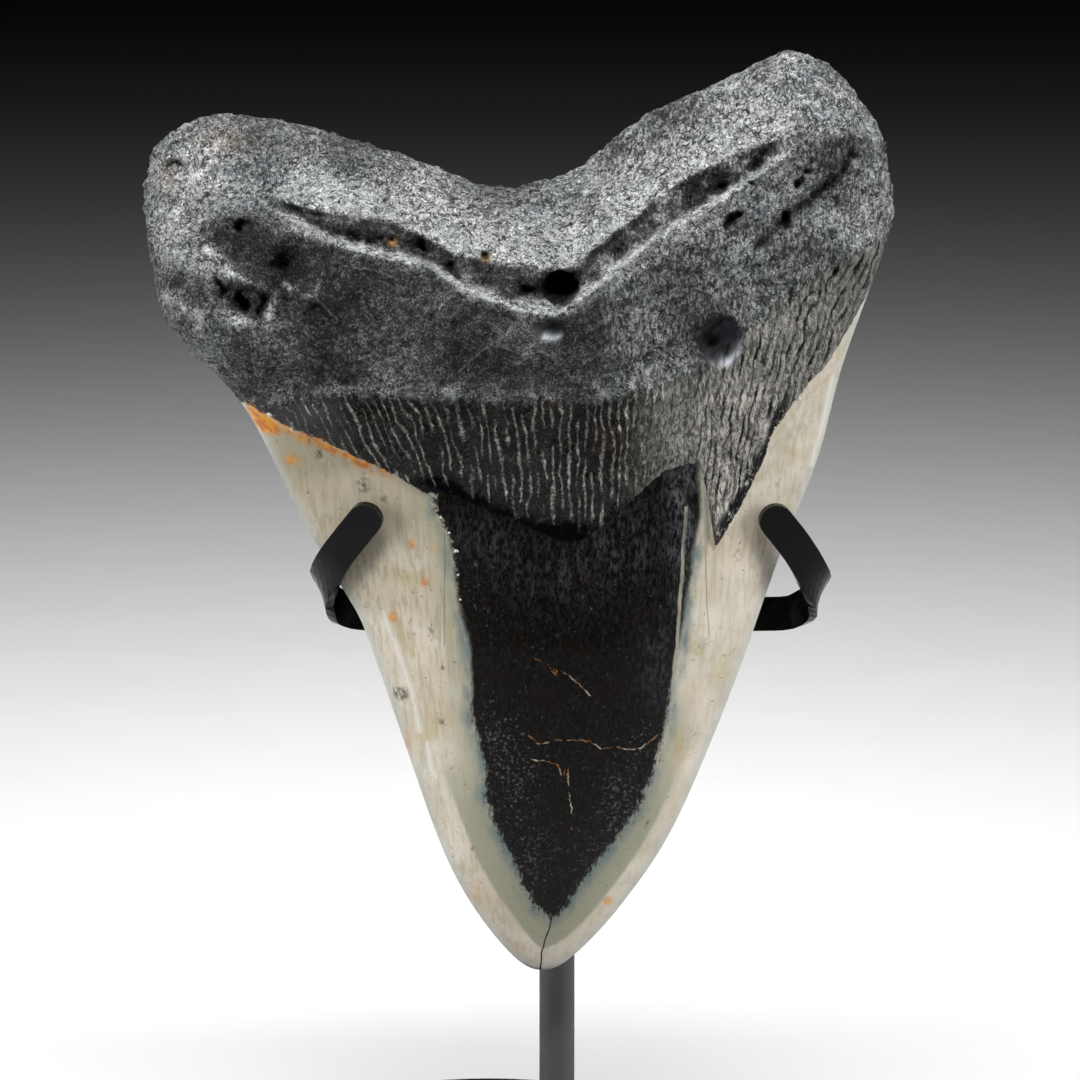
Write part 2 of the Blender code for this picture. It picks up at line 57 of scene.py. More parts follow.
# Each light's place, what it faces, its width and height, watts and cone in degrees.
LIGHTS = {
    "floor_light": ((0.0, 0.0, 0.62), (0.0, 1.3, 0.0), (0.8, 0.3), 8.1, 150.0),
    "front_light": ((0.0, -0.45, 0.85), (0.0, 0.0, 0.15), (0.5, 0.2), 0.9, 70.0),
    "left_light": ((-0.62, -0.20, 0.26), (0.0, 0.0, 0.12), (0.22, 0.5), 0.62, 80.0),
    "right_light": ((0.62, -0.20, 0.26), (0.0, 0.0, 0.12), (0.22, 0.5), 0.58, 80.0),
}
WORLD_LIGHT = 0.0003
# The stand's paints: tone, roughness and the tone of the dust on it.
STRAP_PAINT = (10, 0.26, 44)
POST_PAINT = (84, 0.6, 100)

# ---- The tooth's form, close to the solid's ----
TOOTH_TIP = (10.2, 0, 45.8)
OUTLINE = [
    (0, 0), (3.9, 1.5), (9.2, 6.4), (14.5, 12.8), (20.7, 21.9), (26, 32.7), (33.8, 52.5), (41.3, 74.4),
    (47.8, 91.6), (51.8, 107.3), (56.8, 121.5), (60.2, 131.5), (60.7, 137.5), (59.3, 144.8), (57.3, 150.5),
    (51.5, 158.4), (45.8, 161.5), (40.6, 162), (29.2, 156.5), (17, 150.8), (6.1, 142.3), (-1.2, 139.6),
    (-6.1, 138.9), (-12.2, 139.9), (-26, 144.9), (-41.3, 149.4), (-54.1, 151.5), (-61, 150.4),
    (-65.9, 147.4), (-68.2, 143.6), (-69.3, 136), (-68.1, 126.6), (-66.1, 117.5), (-62.3, 111.8),
    (-51.9, 100.7), (-42.5, 81.8), (-35.2, 68.9), (-31.3, 61.4), (-25.2, 43.5), (-19.1, 25.5),
    (-14.7, 15.5), (-9.4, 7.3), (-4.1, 1.5),
]
RIGHT_LOW, RIGHT_HIGH, LEFT_HIGH, LEFT_LOW = 4, 13, 29, 39
CURVE_STEPS = 12
CROWN_HEIGHTS = [0, 30, 60, 80, 95, 106]
CROWN_FULLNESS_FRONT = [0.40, 0.42, 0.385, 0.33, 0.275, 0.27]
CROWN_FULLNESS_BACK = [0.20, 0.20, 0.195, 0.19, 0.185, 0.185]
BEVEL_WIDTH = 4
BEVEL_LIFT = 0.5
ROOT_FRONT = 15.8
ROOT_BULGE = 4.2
ROOT_BULGE_MIDDLE = 2
ROOT_BULGE_REACH = 27
ROOT_LOBE_LOSS = 2.6
LOBE_REACH = 65
ROOT_OVERHANG = 0.17
ROOT_REACH = 24
ROOT_SLOPE = 0.7
CREST = [
    (-72, 121), (-60, 122), (-50, 126), (-43.9, 133), (-36.7, 130.6), (-30.6, 129), (-19.4, 126.6),
    (-13.3, 122.8), (-5, 120), (2.9, 119), (11, 124.8), (18.5, 131), (28.6, 136.7), (36.9, 142.3),
    (43.7, 147.5), (52, 149), (62, 146),
]
ROOT_BACK = 10
ROOT_BACK_SWELL = 1.5
ROOT_BACK_SWELL_FROM = (104, 124)
ROOT_BACK_LOBE_LOSS = 2
ROOT_SIDE_ROUND = 13
ROOT_BACK_TOP_ROUND = 9
RIM_LEAN = 4.5
ROOT_LUMP = 0.75
ROOT_LUMP_SIZE = 11
ROOT_GRAIN = 0.3
ROOT_GRAIN_SIZE = 3.6
ROOT_STEP = 0.7
ROOT_STEP_ENDS = [(-20, 1), (-15, 0), (25, 0), (30, 1)]
ROOT_FOOT = [(-70, 100), (-52, 96), (38, 96), (58, 116)]
CROWN_LINE = [
    (-70, 121.6), (-66, 118.8), (-61.5, 113), (-55, 105.8), (-51.2, 102), (-45.2, 98.9), (-37.8, 96),
    (-32.1, 93.2), (-27.1, 91), (-20.3, 87.2), (-16, 87.2), (-9.8, 84.8), (-4.9, 83), (0.2, 80.4),
    (3.8, 79.2), (7.2, 79.6), (12.3, 83.6), (17, 87.8), (20.6, 91.2), (26.8, 92.8), (28.4, 86),
    (29.8, 77.2), (34.1, 83.9), (38.2, 92.5), (39.5, 97.2), (43.8, 103.5), (49.1, 109), (53, 115.3),
    (57.5, 123), (64, 130),
]
LABIAL_LINE = [
    (-70, 112), (-50, 107.5), (-25, 103.5), (0, 102.5), (20, 105), (40, 112), (57, 121), (64, 126),
]
BOURLETTE_TOP = 103.6
BOURLETTE_REACH = 12
BOURLETTE_ENDS = [(-40, 0), (-36, 1), (22, 1), (26, 0)]
BOURLETTE_STEP = 0.6
LIP = [
    (-43.9, 135.6), (-36.7, 131), (-30.6, 129.2), (-19.4, 126.8), (-13.3, 122.8), (-5, 120), (2.9, 119),
    (11, 124.8), (18.5, 131), (28.6, 136.7), (36.9, 142.3), (43.7, 147.5),
]
LIP_WIDTH = 0.9
LIP_HEIGHT = 0.45
FURROW_TOP = [
    (-45.5, 137.5), (-37.9, 135.8), (-26.8, 134.3), (-19.2, 131.2), (-15, 128.5), (-7.3, 127),
    (-0.5, 126.1), (5.4, 126.8), (9.7, 130.5), (16.5, 135.6), (22.4, 140.2), (30.9, 144.6), (42.2, 148.9),
]
FURROW_DEPTH = 3
FURROW_FLOOR = 0.25
FURROW_ENDS = [(-46.5, 0), (-41.5, 1), (36, 1), (44, 0)]
LOBE_CRACK = [(36.4, 129.8), (40.8, 134.1), (50.9, 142.1), (52.6, 145.3)]
LOBE_CRACK_WIDTH = 1.3
LOBE_CRACK_DEPTH = 1.5
# Holes of the lingual face: x, z, half-width, half-height, depth.
HOLES = [
    (2.9, 122.9, 3.4, 3, 7), (-51.6, 120.3, 1.3, 1.7, 2), (-48.4, 119.7, 0.9, 1.5, 1.8),
    (-55.3, 123, 1.3, 1.5, 1.6), (-52, 132.6, 1, 1, 1.6), (-63.6, 143.4, 1.6, 1.1, 1.4),
    (35.7, 140.3, 1.1, 1.1, 1.8), (32.4, 134.2, 1.7, 1.3, 2), (45, 143.4, 0.8, 0.8, 1.4),
    (43.4, 141, 0.8, 0.8, 1.4), (-25.8, 131, 1, 0.9, 1.2), (-9.8, 128.2, 1.2, 1.2, 1.6),
    (-20.5, 129.2, 1.6, 1.2, 1.5), (-16.3, 126.9, 1.2, 1, 1.4), (-3, 122.6, 2.2, 1, 1.6),
    (41, 134.4, 1.1, 1.6, 2), (-45, 126.6, 1.3, 2, 1.6), (50.6, 125, 0.9, 1.1, 1),
]
# Shallow bowls of the lingual face, in the same order.
DENTS = [
    (30.4, 113.6, 4, 4.6, 1.5), (27.6, 113, 1.8, 2.4, 0.7), (0.9, 116.3, 3.2, 2, 0.9),
    (4.6, 136, 2.8, 2.2, 0.8), (30.4, 145.4, 2.9, 2.2, 0.8), (50, 134.4, 5, 4.2, 1.1),
    (-66.2, 130.6, 2.2, 4, 0.6), (-10.2, 131.6, 1.9, 2.4, 0.5), (-53.8, 131.2, 4.2, 3.4, 1.6),
    (-50.4, 127.2, 3.4, 3, 1.4), (-43.4, 125.4, 3.8, 4, 1.3), (-60, 122.6, 4.2, 3.6, 0.9),
    (-52.6, 121, 4.4, 3.6, 0.9), (-13.5, 110.5, 2, 3.6, 0.6), (36.9, 120, 1.9, 1.6, 0.6),
    (35.6, 126, 2.4, 1.6, 0.7), (12.5, 110, 3, 2, 0.5), (46, 129, 1.6, 2.6, 0.7),
]
BACK_DENTS = [
    (-2, 121, 15, 9, 1.5), (-38, 128, 5, 4, 1.2), (34, 131, 4.5, 5, 1.2), (-20, 131, 2.4, 2, 1.2),
    (14, 133, 2, 2.4, 1.2), (-54, 138, 3, 2.6, 1.1), (46, 145, 3.2, 2.6, 1.1), (-29, 118, 1.8, 1.6, 1),
    (24, 120, 1.8, 1.6, 1),
]

# ---- Fine relief and markings of the tooth ----
CELLS_ACROSS = 290
CELLS_UP = 260
# The root's grain and pits: height in millimetres, size and octaves.
COARSE_GRAIN = (0.36, 3.1, 4)
FINE_GRAIN = (0.34, 1.1, 2)
PITS = (0.50, 2.1, 2)
HAIR_HEIGHT, HAIR_WIDTH = 0.25, 0.5
CRUMPLE, CRUMPLE_SIZE = 0.9, 2.6  # how far the small holes' rims wander, and over what length
# Millimetres from ridge to ridge over the band under the root, and how far a ridge moves sideways
# for each millimetre of height, at places across.
RIDGE_PITCHES = [(-70, 1.5), (18, 1.4), (27, 1.15), (70, 1.15)]
RIDGE_SLANTS = [
    (-60, -0.55), (-25, -0.42), (-12, -0.16), (0, -0.03), (20, 0.04), (34, 0.16), (56, 0.36),
]
RIDGE_LEVEL = 92  # the height at which those pitches are measured
RIDGE_HEIGHT = 0.4
RIDGE_HALF_WIDTH = 0.25  # as a share of the way from ridge to ridge
RIDGE_TOPS = [
    (-60, 100), (-36, 103.9), (10.4, 103.4), (18.8, 107), (24, 107), (30, 111), (40, 120), (55, 129),
    (64, 132),
]
RIDGE_FEET = [
    (-60, 80), (-24, 86), (-19.1, 88.6), (-14.6, 87.4), (-9.1, 84.8), (-3.5, 82.3), (2, 81), (7.7, 80.2),
    (11.5, 83), (16.6, 87.4), (20, 89), (24.3, 91), (26, 80), (64, 80),
]
BARK_START = (11, 33)  # the ridges turn into dark cracks over this stretch of x
# The dark panel of enamel down the middle of the lingual face.
PANEL = [
    (1.6, 10.6), (4.4, 13.2), (6.9, 17.4), (10.2, 22.2), (13.5, 26.1), (17, 31.2), (18.9, 36.4),
    (20.2, 41.2), (21.6, 46.4), (22.1, 52.1), (22.9, 57.2), (23.9, 61.1), (24.7, 68.5), (26, 75.7),
    (27.1, 82.6), (27, 89.6), (26.4, 100), (-19, 100), (-18.6, 84), (-16.2, 80), (-15.4, 73.4),
    (-14.3, 66.2), (-12.6, 60.1), (-12.5, 54.3), (-12.3, 47), (-10.8, 41.9), (-9.9, 37.7), (-10, 33.1),
    (-8.1, 28), (-5.6, 22.4), (-3.7, 16.9), (-1.4, 12.9),
]
# How light the root's lower face is painted at places across, 0 to 1: partly the stone's own tone, partly
# painted shade under the overhang.
LOWER_TONES = [
    (-70, 0.44), (-58, 0.38), (-48, 0.34), (-38, 0.17), (-28, 0.19), (-10, 0.16), (4, 0.17), (16, 0.36),
    (34, 0.37), (50, 0.38), (62, 0.42),
]
# How light the upper slope is painted: partly the stone's own tone, partly painted light from above.
UPPER_TONE = 0.33
# Painted light just above the furrow, where the slope turns up towards the light.
FURROW_EDGE_LIGHT = 0.37  # so much lighter just above the furrow
FURROW_EDGE_REACH = 8
# Lighter and darker patches of the root: x, z, half-width, half-height, amount. The darkest ones, on the
# hollows and the big dent, are painted shade; the others are the stone's own tone.
ROOT_PATCHES = [
    (-52.3, 131, 5.4, 4, -0.62), (-45, 126, 4, 4, -0.44), (-50, 121, 4.6, 3, -0.46),
    (-60.2, 122.4, 3.8, 2.4, -0.26), (-36, 119, 9, 6, -0.08), (-61, 138, 9, 10, 0.36),
    (-38, 147, 12, 6, -0.10), (30.2, 114.6, 4.6, 4.2, -0.60), (0.9, 117.2, 2.6, 1.6, -0.12),
    (46, 154, 9, 6, 0.12), (38, 139, 10, 5, 0.12), (-10, 106.5, 22, 2.2, 0.10), (20, 109.5, 8, 3, 0.04),
    (-40, 104.5, 10, 3, 0.06), (33.8, 133.6, 3.4, 2.4, -0.20), (50.5, 134, 3.6, 2.6, 0.16),
    (57.5, 146, 3, 5, 0.16), (-66, 131, 2, 3.6, 0.10),
]
# Painted highlights on the rims and lips of the root's hollows, where they catch the light: line,
# half-width, amount.
ROOT_RIM_HIGHLIGHTS = [
    ([(-48.5, 130.6), (-46.5, 128.6), (-45.5, 126)], 0.6, 0.36),
    ([(-44.3, 123.5), (-42.1, 121.7), (-39.4, 121.6), (-38.3, 122.9)], 0.6, 0.60),
    ([(-57.7, 129.2), (-54.8, 127.5), (-53.5, 125.3), (-50.9, 123.9), (-48, 123.3), (-45.8, 122.4)],
     0.7, 0.70),
    ([(-64.8, 120.5), (-62.6, 118.2), (-58.8, 117.4), (-54.5, 118.4), (-52, 117.4)], 1.5, 0.40),
    ([(-52, 117), (-48.2, 116.6), (-46.5, 118.6), (-45.9, 121.4)], 0.7, 0.66),
    ([(29.6, 110.6), (31.2, 110), (32.8, 110.8), (33.6, 112.2)], 1.1, 1),
    ([(0.2, 115.2), (1.6, 114.8), (2.8, 115.2)], 0.5, 0.75),
    ([(56.6, 140.6), (57.4, 145), (56.2, 149.6)], 0.9, 0.24),
]
# A painted highlight along the furrow's lip, and its half-width.
LIP_HIGHLIGHT = 0.13  # so much lighter along the furrow's lip
LIP_HIGHLIGHT_WIDTH = 0.4
FRAY_TONE = 0.18  # so much lighter along the ridges' upper ends, over this stretch of x
FRAY_ENDS = [(-42, 0), (-36, 1), (4, 1), (14, 0.1)]
SHOULDER = [(-54, 4), (-51.5, 0)]  # how far the stone runs down the left edge, at places across
# SHELF sets how far the upper slope's painted light reaches down over the lip.
SHELF = [(0, 0), (14, 2.2), (40, 3.2)]  # how far the light lip reaches down, at places across
# Dents of the root whose floor is smooth: x, z, half-width, half-height.
SMOOTH_DENTS = [(30.4, 113.6, 3.7, 4.7), (0.9, 116, 2.8, 1.9)]
# Thin raised lines on the root.
HAIRLINES = [
    [(-14, 109), (-10.2, 112.6), (-7.5, 113.5), (-3.8, 112.3)],
    [(-3.8, 110.7), (-0.5, 112.6), (2.4, 110.7)],
    [(-18, 117.5), (-15.5, 118.1), (-13.9, 120.1)],
    [(-39.3, 121.9), (-37, 119.4), (-35.4, 117.7)],
    [(6.5, 110.4), (9.6, 112), (12.8, 110.6)],
    [(-33, 126.4), (-28.6, 126), (-25, 124.6)],
]
# Thin cracks filled with light mineral in the dark panel.
VEINS = [
    [(-0.7, 58.2), (0.8, 57.5), (1.6, 56.2)],
    [(2.6, 56.8), (4, 55.9), (6, 54.2), (7.8, 52.4)],
    [(-2.3, 44.6), (-0.4, 43.1), (1.5, 43.9), (4, 44), (7.8, 43.7)],
    [(8.6, 43.2), (10.4, 42.3), (12.4, 42.5), (14.6, 42), (17, 41.9), (19.4, 43.6)],
    [(-3.6, 41), (-1.4, 40.2), (2, 39.8), (3, 38.2)],
    [(4.4, 38), (4.5, 34.2), (4.9, 31.4), (5, 28.2)],
]
TIP_CRACK = [(1.6, 11.2), (1.1, 8.6), (-0.2, 4.2), (-0.5, 0.2)]
# Faint hairlines in the pale enamel.
SCRATCHES = [
    [(-17, 80), (-17.1, 70), (-17.2, 60.8)],
    [(28.1, 75.8), (28.4, 68), (28.9, 61.9)],
]
# A grey haze on the dark panel: x, z, half-width, half-height, strength.
HAZE = [
    (24.2, 86, 2.6, 9, 1), (23.6, 72, 1.6, 9, 0.5), (20, 58, 3, 9, 0.25), (-11, 79, 7, 5, 0.25),
    (2, 73.5, 9, 5, 0.28), (14, 79, 7, 7, 0.35),
]
# Painted highlights: narrow cream strips beside the dark panel.
HIGHLIGHT_STRIPS = [
    [(24.6, 84), (24.2, 75.5), (23.6, 66), (23, 58), (22.6, 51.4)],
    [(27.3, 92.5), (27.9, 84), (28.3, 76.6)],
    [(27.9, 88.5), (28.2, 83), (28.6, 78.6)],
]
# Painted highlights where the crown's bevels catch the light.
GLEAMS = [
    [(-27.8, 64.8), (-26.1, 59.9), (-24.7, 56.1), (-23.1, 51.2), (-21.7, 44.2)],
    [(-20.3, 41.6), (-19.8, 37.2), (-19.1, 36)],
    [(50.2, 106), (48.6, 98), (46.8, 91)],
]
# Stains of the crown: x, z, half-width, half-height, strength. In the grey list, the three entries from
# (31.5, 62.8) to (26, 57.6) are no stain but the right strap's painted shadow across the enamel.
ORANGE_STAINS = [
    (-50, 100.6, 1.5, 1.5, 1.2), (-48.6, 98.9, 2, 1.7, 1.3), (-47, 97.6, 2, 1.3, 1),
    (-43.8, 91.9, 1.7, 1.2, 0.8), (-22.7, 78, 1, 1.4, 0.7), (-20.5, 71.3, 1.2, 1.2, 0.7),
    (-26.4, 64.3, 1.2, 1.5, 0.8), (-18.9, 77.6, 1.1, 1.6, 0.45), (-23.8, 41.6, 1, 4, 0.5),
    (11.4, 13.2, 1.2, 1, 0.8), (-12, 14, 2, 4, 0.4), (-4, 5, 2.6, 1.6, 0.35), (24, 40, 1.6, 6, 0.35),
    (5, 3.2, 2.2, 1.4, 0.3), (-55, 147, 7, 4, 0.35), (-66, 141, 3, 5, 0.40), (1.2, 103.7, 1.6, 1, 0.5),
    (11.5, 96.8, 2.2, 2.4, 0.5), (-25.7, 130.6, 0.9, 0.9, 1.2), (-9.7, 127.9, 0.9, 0.9, 1.2),
]
GREY_STAINS_AND_STRAP_SHADOW = [
    (-38.8, 93.4, 0.8, 0.8, 1.3), (-31.1, 88.1, 1.7, 1.8, 0.8), (-27.6, 85.8, 1.1, 1.1, 0.7),
    (-25, 50.5, 1.8, 1.5, 1), (-17.5, 56.1, 0.45, 0.45, 1.2), (-17.9, 46.1, 1.3, 0.7, 0.8),
    (33.9, 75.7, 1.7, 1.8, 0.55), (-40.5, 95.6, 0.5, 0.9, 1), (-34.6, 93.2, 0.5, 0.7, 0.8),
    (36.6, 68, 0.6, 0.6, 0.7), (-19.4, 62.9, 1.1, 1.3, 0.6), (31.5, 62.8, 2.6, 1.6, 0.35),
    (28.5, 60, 2.4, 1.8, 0.45), (26, 57.6, 2, 1.6, 0.40), (-12.5, 23, 0.6, 0.8, 0.8),
    (40.6, 88, 0.8, 1.2, 0.5), (44.4, 98, 0.7, 1, 0.4), (18.4, 27.6, 0.5, 0.8, 0.8),
]
# Where light specks crowd the dark panel.
SPECKLED = [
    (-5.5, 37, 5, 10, 1), (-1.5, 22, 4, 7, 0.8), (13.5, 33, 4.5, 8, 0.9), (9, 22, 3.5, 5, 0.7),
    (-12, 72, 3, 9, 0.35), (17, 43, 3, 3, 0.6), (-9, 45, 2.6, 4, 0.7),
]
# The labial face: how light its stone is, how that swings, and how much darker its dents are.
BACK_TONE = 0.42
BACK_TONE_SWING = 0.16
BACK_DENT_TONE = 0.12
BACK_PANEL_MIDDLE = 3  # the x of its dark panel's middle
BACK_PANEL_INSIDE = 13  # how far inside the panel that middle counts as
FAR = 9  # stands for a line or an edge that the labial face doesn't have
# Crumbs of white sediment left on the line between root and crown: x, z, size.
CRUMBS = [
    (-47.1, 100.5, 0.9), (-43.1, 98.0, 0.9), (43.9, 103.2, 0.8), (-15.0, 77.2, 0.6),
    (-16.2, 80.4, 0.35), (-14.7, 73.0, 0.35), (-17.6, 83.0, 0.35), (-14.3, 68.6, 0.35),
    (38.9, 95.0, 0.35), (39.9, 98.4, 0.35), (35.6, 86.9, 0.4), (32.3, 81.2, 0.35),
]
CRUMB_LUMPS = 0.45
CRUMB_BREADTH = 1.25


# ---- Shape tools ----
def smooth_step(low, high, value):
    """0 below low, 1 above high and a smooth rise between."""
    t = np.clip((value - low) / (high - low), 0, 1)
    return t * t * (3 - 2 * t)


def smooth_curve(points, closed=False):
    """A Catmull-Rom curve, as CURVE_STEPS points for each span between the given points."""
    p = np.array(points, dtype=float)
    if closed:
        before, here, after, beyond = np.roll(p, 1, 0), p, np.roll(p, -1, 0), np.roll(p, -2, 0)
    else:
        p = np.vstack([2 * p[0] - p[1], p, 2 * p[-1] - p[-2]])
        before, here, after, beyond = p[:-3], p[1:-2], p[2:-1], p[3:]
    t = (np.arange(CURVE_STEPS) / CURVE_STEPS)[None, :, None]
    b, p, a, f = (q[:, None, :] for q in (before, here, after, beyond))
    curve = 0.5 * (
        2 * p + (a - b) * t + (2 * b - 5 * p + 4 * a - f) * t**2 + (3 * p - b - 3 * a + f) * t**3
    )
    curve = curve.reshape(-1, curve.shape[-1])
    return curve if closed else np.vstack([curve, after[-1]])


def along(curve, share):
    """Points at the given shares of a polyline's length."""
    steps = np.hypot(*np.diff(curve, axis=0).T)
    length = np.concatenate([[0], np.cumsum(steps)])
    return np.stack([np.interp(share * length[-1], length, curve[:, k]) for k in (0, 1)], axis=-1)


def off_span(start, end, x, z):
    """Distance from each (x, z) to a straight span, and how far to the side of its line."""
    (x0, z0), (x1, z1) = start, end
    run, rise = x1 - x0, z1 - z0
    length = math.hypot(run, rise)
    t = np.clip(((x - x0) * run + (z - z0) * rise) / length**2, 0, 1)
    return np.hypot(x - x0 - t * run, z - z0 - t * rise), ((x - x0) * rise - (z - z0) * run) / length


def distance_to(line, x, z):
    """Distance from each (x, z) to a polyline."""
    best = np.full(x.shape, 1e9)
    for start, end in zip(line[:-1], line[1:]):
        best = np.minimum(best, off_span(start, end, x, z)[0])
    return best


def inside_by(polygon, x, z):
    """How far each (x, z) is inside a closed polygon, negative outside it."""
    closed = polygon + polygon[:1]
    inside = np.zeros(x.shape, dtype=bool)
    for (x0, z0), (x1, z1) in zip(closed[:-1], closed[1:]):
        if z0 != z1:
            crosses = (z0 > z) != (z1 > z)
            inside ^= crosses & (x < (x1 - x0) * (z - z0) / (z1 - z0) + x0)
    return np.where(inside, 1, -1) * distance_to(closed, x, z)


def lumps(x, z, size, layer=0):
    """Perlin noise, between about -1 and 1, over places in millimetres; a layer is one pattern of it."""
    points = np.stack([x / size, np.full_like(x, layer / size), z / size], axis=-1).reshape(-1, 3)
    values = [2 * noise.noise(Vector(p)) for p in points]
    return np.array(values).reshape(x.shape)


def roughness_of(points, height, size, octaves):
    """Fractal noise over 3-D points, between about minus and plus the height."""
    return height * np.array([noise.fractal(Vector(p), 0.8, 2.1, octaves) for p in points / size])


# ---- The tooth's form, worked out ----
def outline_curves():
    """The outline's right side, top, left side and tip, each from left to right or upward."""
    curve = smooth_curve(OUTLINE, closed=True)
    low_right, high_right, high_left, low_left = (
        CURVE_STEPS * k for k in (RIGHT_LOW, RIGHT_HIGH, LEFT_HIGH, LEFT_LOW)
    )
    right = curve[low_right : high_right + 1]
    top = curve[high_right : high_left + 1][::-1]
    left = curve[high_left : low_left + 1][::-1]
    tip = np.concatenate([curve[low_left:], curve[: low_right + 1]])
    return right, top, left, tip


def outline_grid():
    """A fine grid of (x, z) places that fills the outline, closest where the root turns away."""
    right, top, left, tip = outline_curves()
    t = np.linspace(0, 1, CELLS_ACROSS + 1)
    across = 0.45 * t + 0.55 * (0.5 - 0.5 * np.cos(math.pi * t))
    t = np.linspace(0, 1, CELLS_UP + 1)
    up = 0.4 * t + 0.6 * np.sin(0.5 * math.pi * t)
    u, v = across[None, :, None], up[:, None, None]
    tip_row, top_row = along(tip, across)[None], along(top, across)[None]
    left_column, right_column = along(left, up)[:, None], along(right, up)[:, None]
    corners = (
        (1 - u) * (1 - v) * tip[0] + u * (1 - v) * tip[-1] + (1 - u) * v * top[0] + u * v * top[-1]
    )
    sides = (1 - u) * left_column + u * right_column
    return (1 - v) * tip_row + v * top_row + sides - corners


def rim_distances(x, z):
    """Distance to the outline's left and right sides, down to the tip, and to its top."""
    right, top, left, tip = outline_curves()
    middle = int(np.argmin(tip[:, 1]))
    left_side = np.concatenate([left[::-1], tip[1 : middle + 1]])
    right_side = np.concatenate([right[::-1], tip[middle:-1][::-1]])
    return distance_to(left_side, x, z), distance_to(right_side, x, z), distance_to(top, x, z)


def rounded(distance, radius):
    """The profile of a round edge: 0 at the rim, 1 from one radius inside it."""
    t = 1 - np.clip(distance / radius, 0, 1)
    return np.sqrt(1 - t * t)


def bell(distance, reach):
    """1 at no distance, falling away over the reach."""
    return np.exp(-((distance / reach) ** 2))


def at(line, x):
    """The value at each x of a line given as (x, value) points."""
    return np.interp(x, *np.array(line).T)


def groove(line, x, z, width):
    """1 on a line over the face, falling away to its sides."""
    return bell(distance_to(line, x, z), width)


def bowls(places, x, z):
    """Sharp-rimmed hollows at the given places, as a depth over each (x, z)."""
    depth = np.zeros_like(x)
    for px, pz, half_width, half_height, deep in places:
        inside = ((x - px) / half_width) ** 2 + ((z - pz) / half_height) ** 2
        depth += deep * np.clip(1 - inside, 0, 1) ** 0.8
    return depth


def crumpled(x, z):
    """Places moved sideways a little, so that hollows drawn there get uneven rims."""
    return tuple(
        value + CRUMPLE * lumps(x, z, CRUMPLE_SIZE, layer) for value, layer in ((x, 7), (z, 9))
    )


def holes(x, z):
    """The depth of the holes: the first, large one is round and the others are uneven."""
    return bowls(HOLES[:1], x, z) + bowls(HOLES[1:], *crumpled(x, z))


def rim_fields(x, z):
    """Distances to the sides and the top, the breadth of the face and its fade at the thin rim."""
    left, right, top = rim_distances(x, z)
    side = np.minimum(left, right)
    breadth = 2 * left * right / np.maximum(left + right, 1e-6)
    return side, top, breadth, smooth_step(0, 3, np.minimum(side, top))


def furrow_climb(x, z):
    """0 on the furrow's lip, 1 on its upper edge."""
    lip, top = at(LIP, x), at(FURROW_TOP, x)
    return (z - lip) / np.maximum(top - lip, 0.5)


def front_relief(x, z):
    """Furrow, lip, holes, crack, dents and ledges of the lingual face, outward positive."""
    climb = furrow_climb(x, z)
    fall, rise = climb / FURROW_FLOOR, (1 - climb) / (1 - FURROW_FLOOR)
    notch = FURROW_DEPTH * np.clip(np.minimum(fall, rise), 0, 1)
    uneven = at(FURROW_ENDS, x) * (1 + 0.45 * lumps(x, z, 4, 20))
    relief = uneven * (LIP_HEIGHT * groove(LIP, x, z, LIP_WIDTH) - notch)
    relief -= LOBE_CRACK_DEPTH * groove(LOBE_CRACK, x, z, LOBE_CRACK_WIDTH)
    relief -= holes(x, z) + bowls(DENTS, x, z)
    relief += ROOT_STEP * at(ROOT_STEP_ENDS, x) * smooth_step(-0.8, 0.8, z - at(CROWN_LINE, x))
    over_ledge = smooth_step(-0.8, 0.8, z - BOURLETTE_TOP)
    in_band = smooth_step(-BOURLETTE_REACH, 0, z - BOURLETTE_TOP)
    in_band *= at(BOURLETTE_ENDS, x)
    return relief - BOURLETTE_STEP * in_band * (1 - over_ledge)


def front_face(x, z):
    """How far the lingual face stands ahead of the rim."""
    side, top, breadth, thin_rim = rim_fields(x, z)
    bevel = BEVEL_LIFT * (1 - np.exp(-side / (0.5 * BEVEL_WIDTH)))
    crown = np.interp(z, CROWN_HEIGHTS, CROWN_FULLNESS_FRONT) * breadth + bevel
    crest = at(CREST, x)
    root = ROOT_FRONT + ROOT_BULGE * bell(x - ROOT_BULGE_MIDDLE, ROOT_BULGE_REACH)
    root = root - ROOT_LOBE_LOSS * (x / LOBE_REACH) ** 2
    root = root - ROOT_OVERHANG * np.clip(crest - z, 0, ROOT_REACH)
    over = np.maximum(z - crest, 0)
    climb = over / np.maximum(over + top, 1e-6)
    slope = ROOT_SLOPE * (1 - climb) + (1 - ROOT_SLOPE) * np.sqrt(1 - climb**2)
    root = root * slope * rounded(side, ROOT_SIDE_ROUND)
    share = smooth_step(-7, 8, z - at(ROOT_FOOT, x))
    relief = front_relief(x, z)
    rough = ROOT_LUMP * lumps(x, z, ROOT_LUMP_SIZE)
    rough += ROOT_GRAIN * lumps(x, z, ROOT_GRAIN_SIZE, 40)
    root_share = smooth_step(-2, 4, z - at(CROWN_LINE, x))
    depth = crown + (root - crown) * share + thin_rim * (relief + rough * root_share)
    return np.maximum(depth, 0)


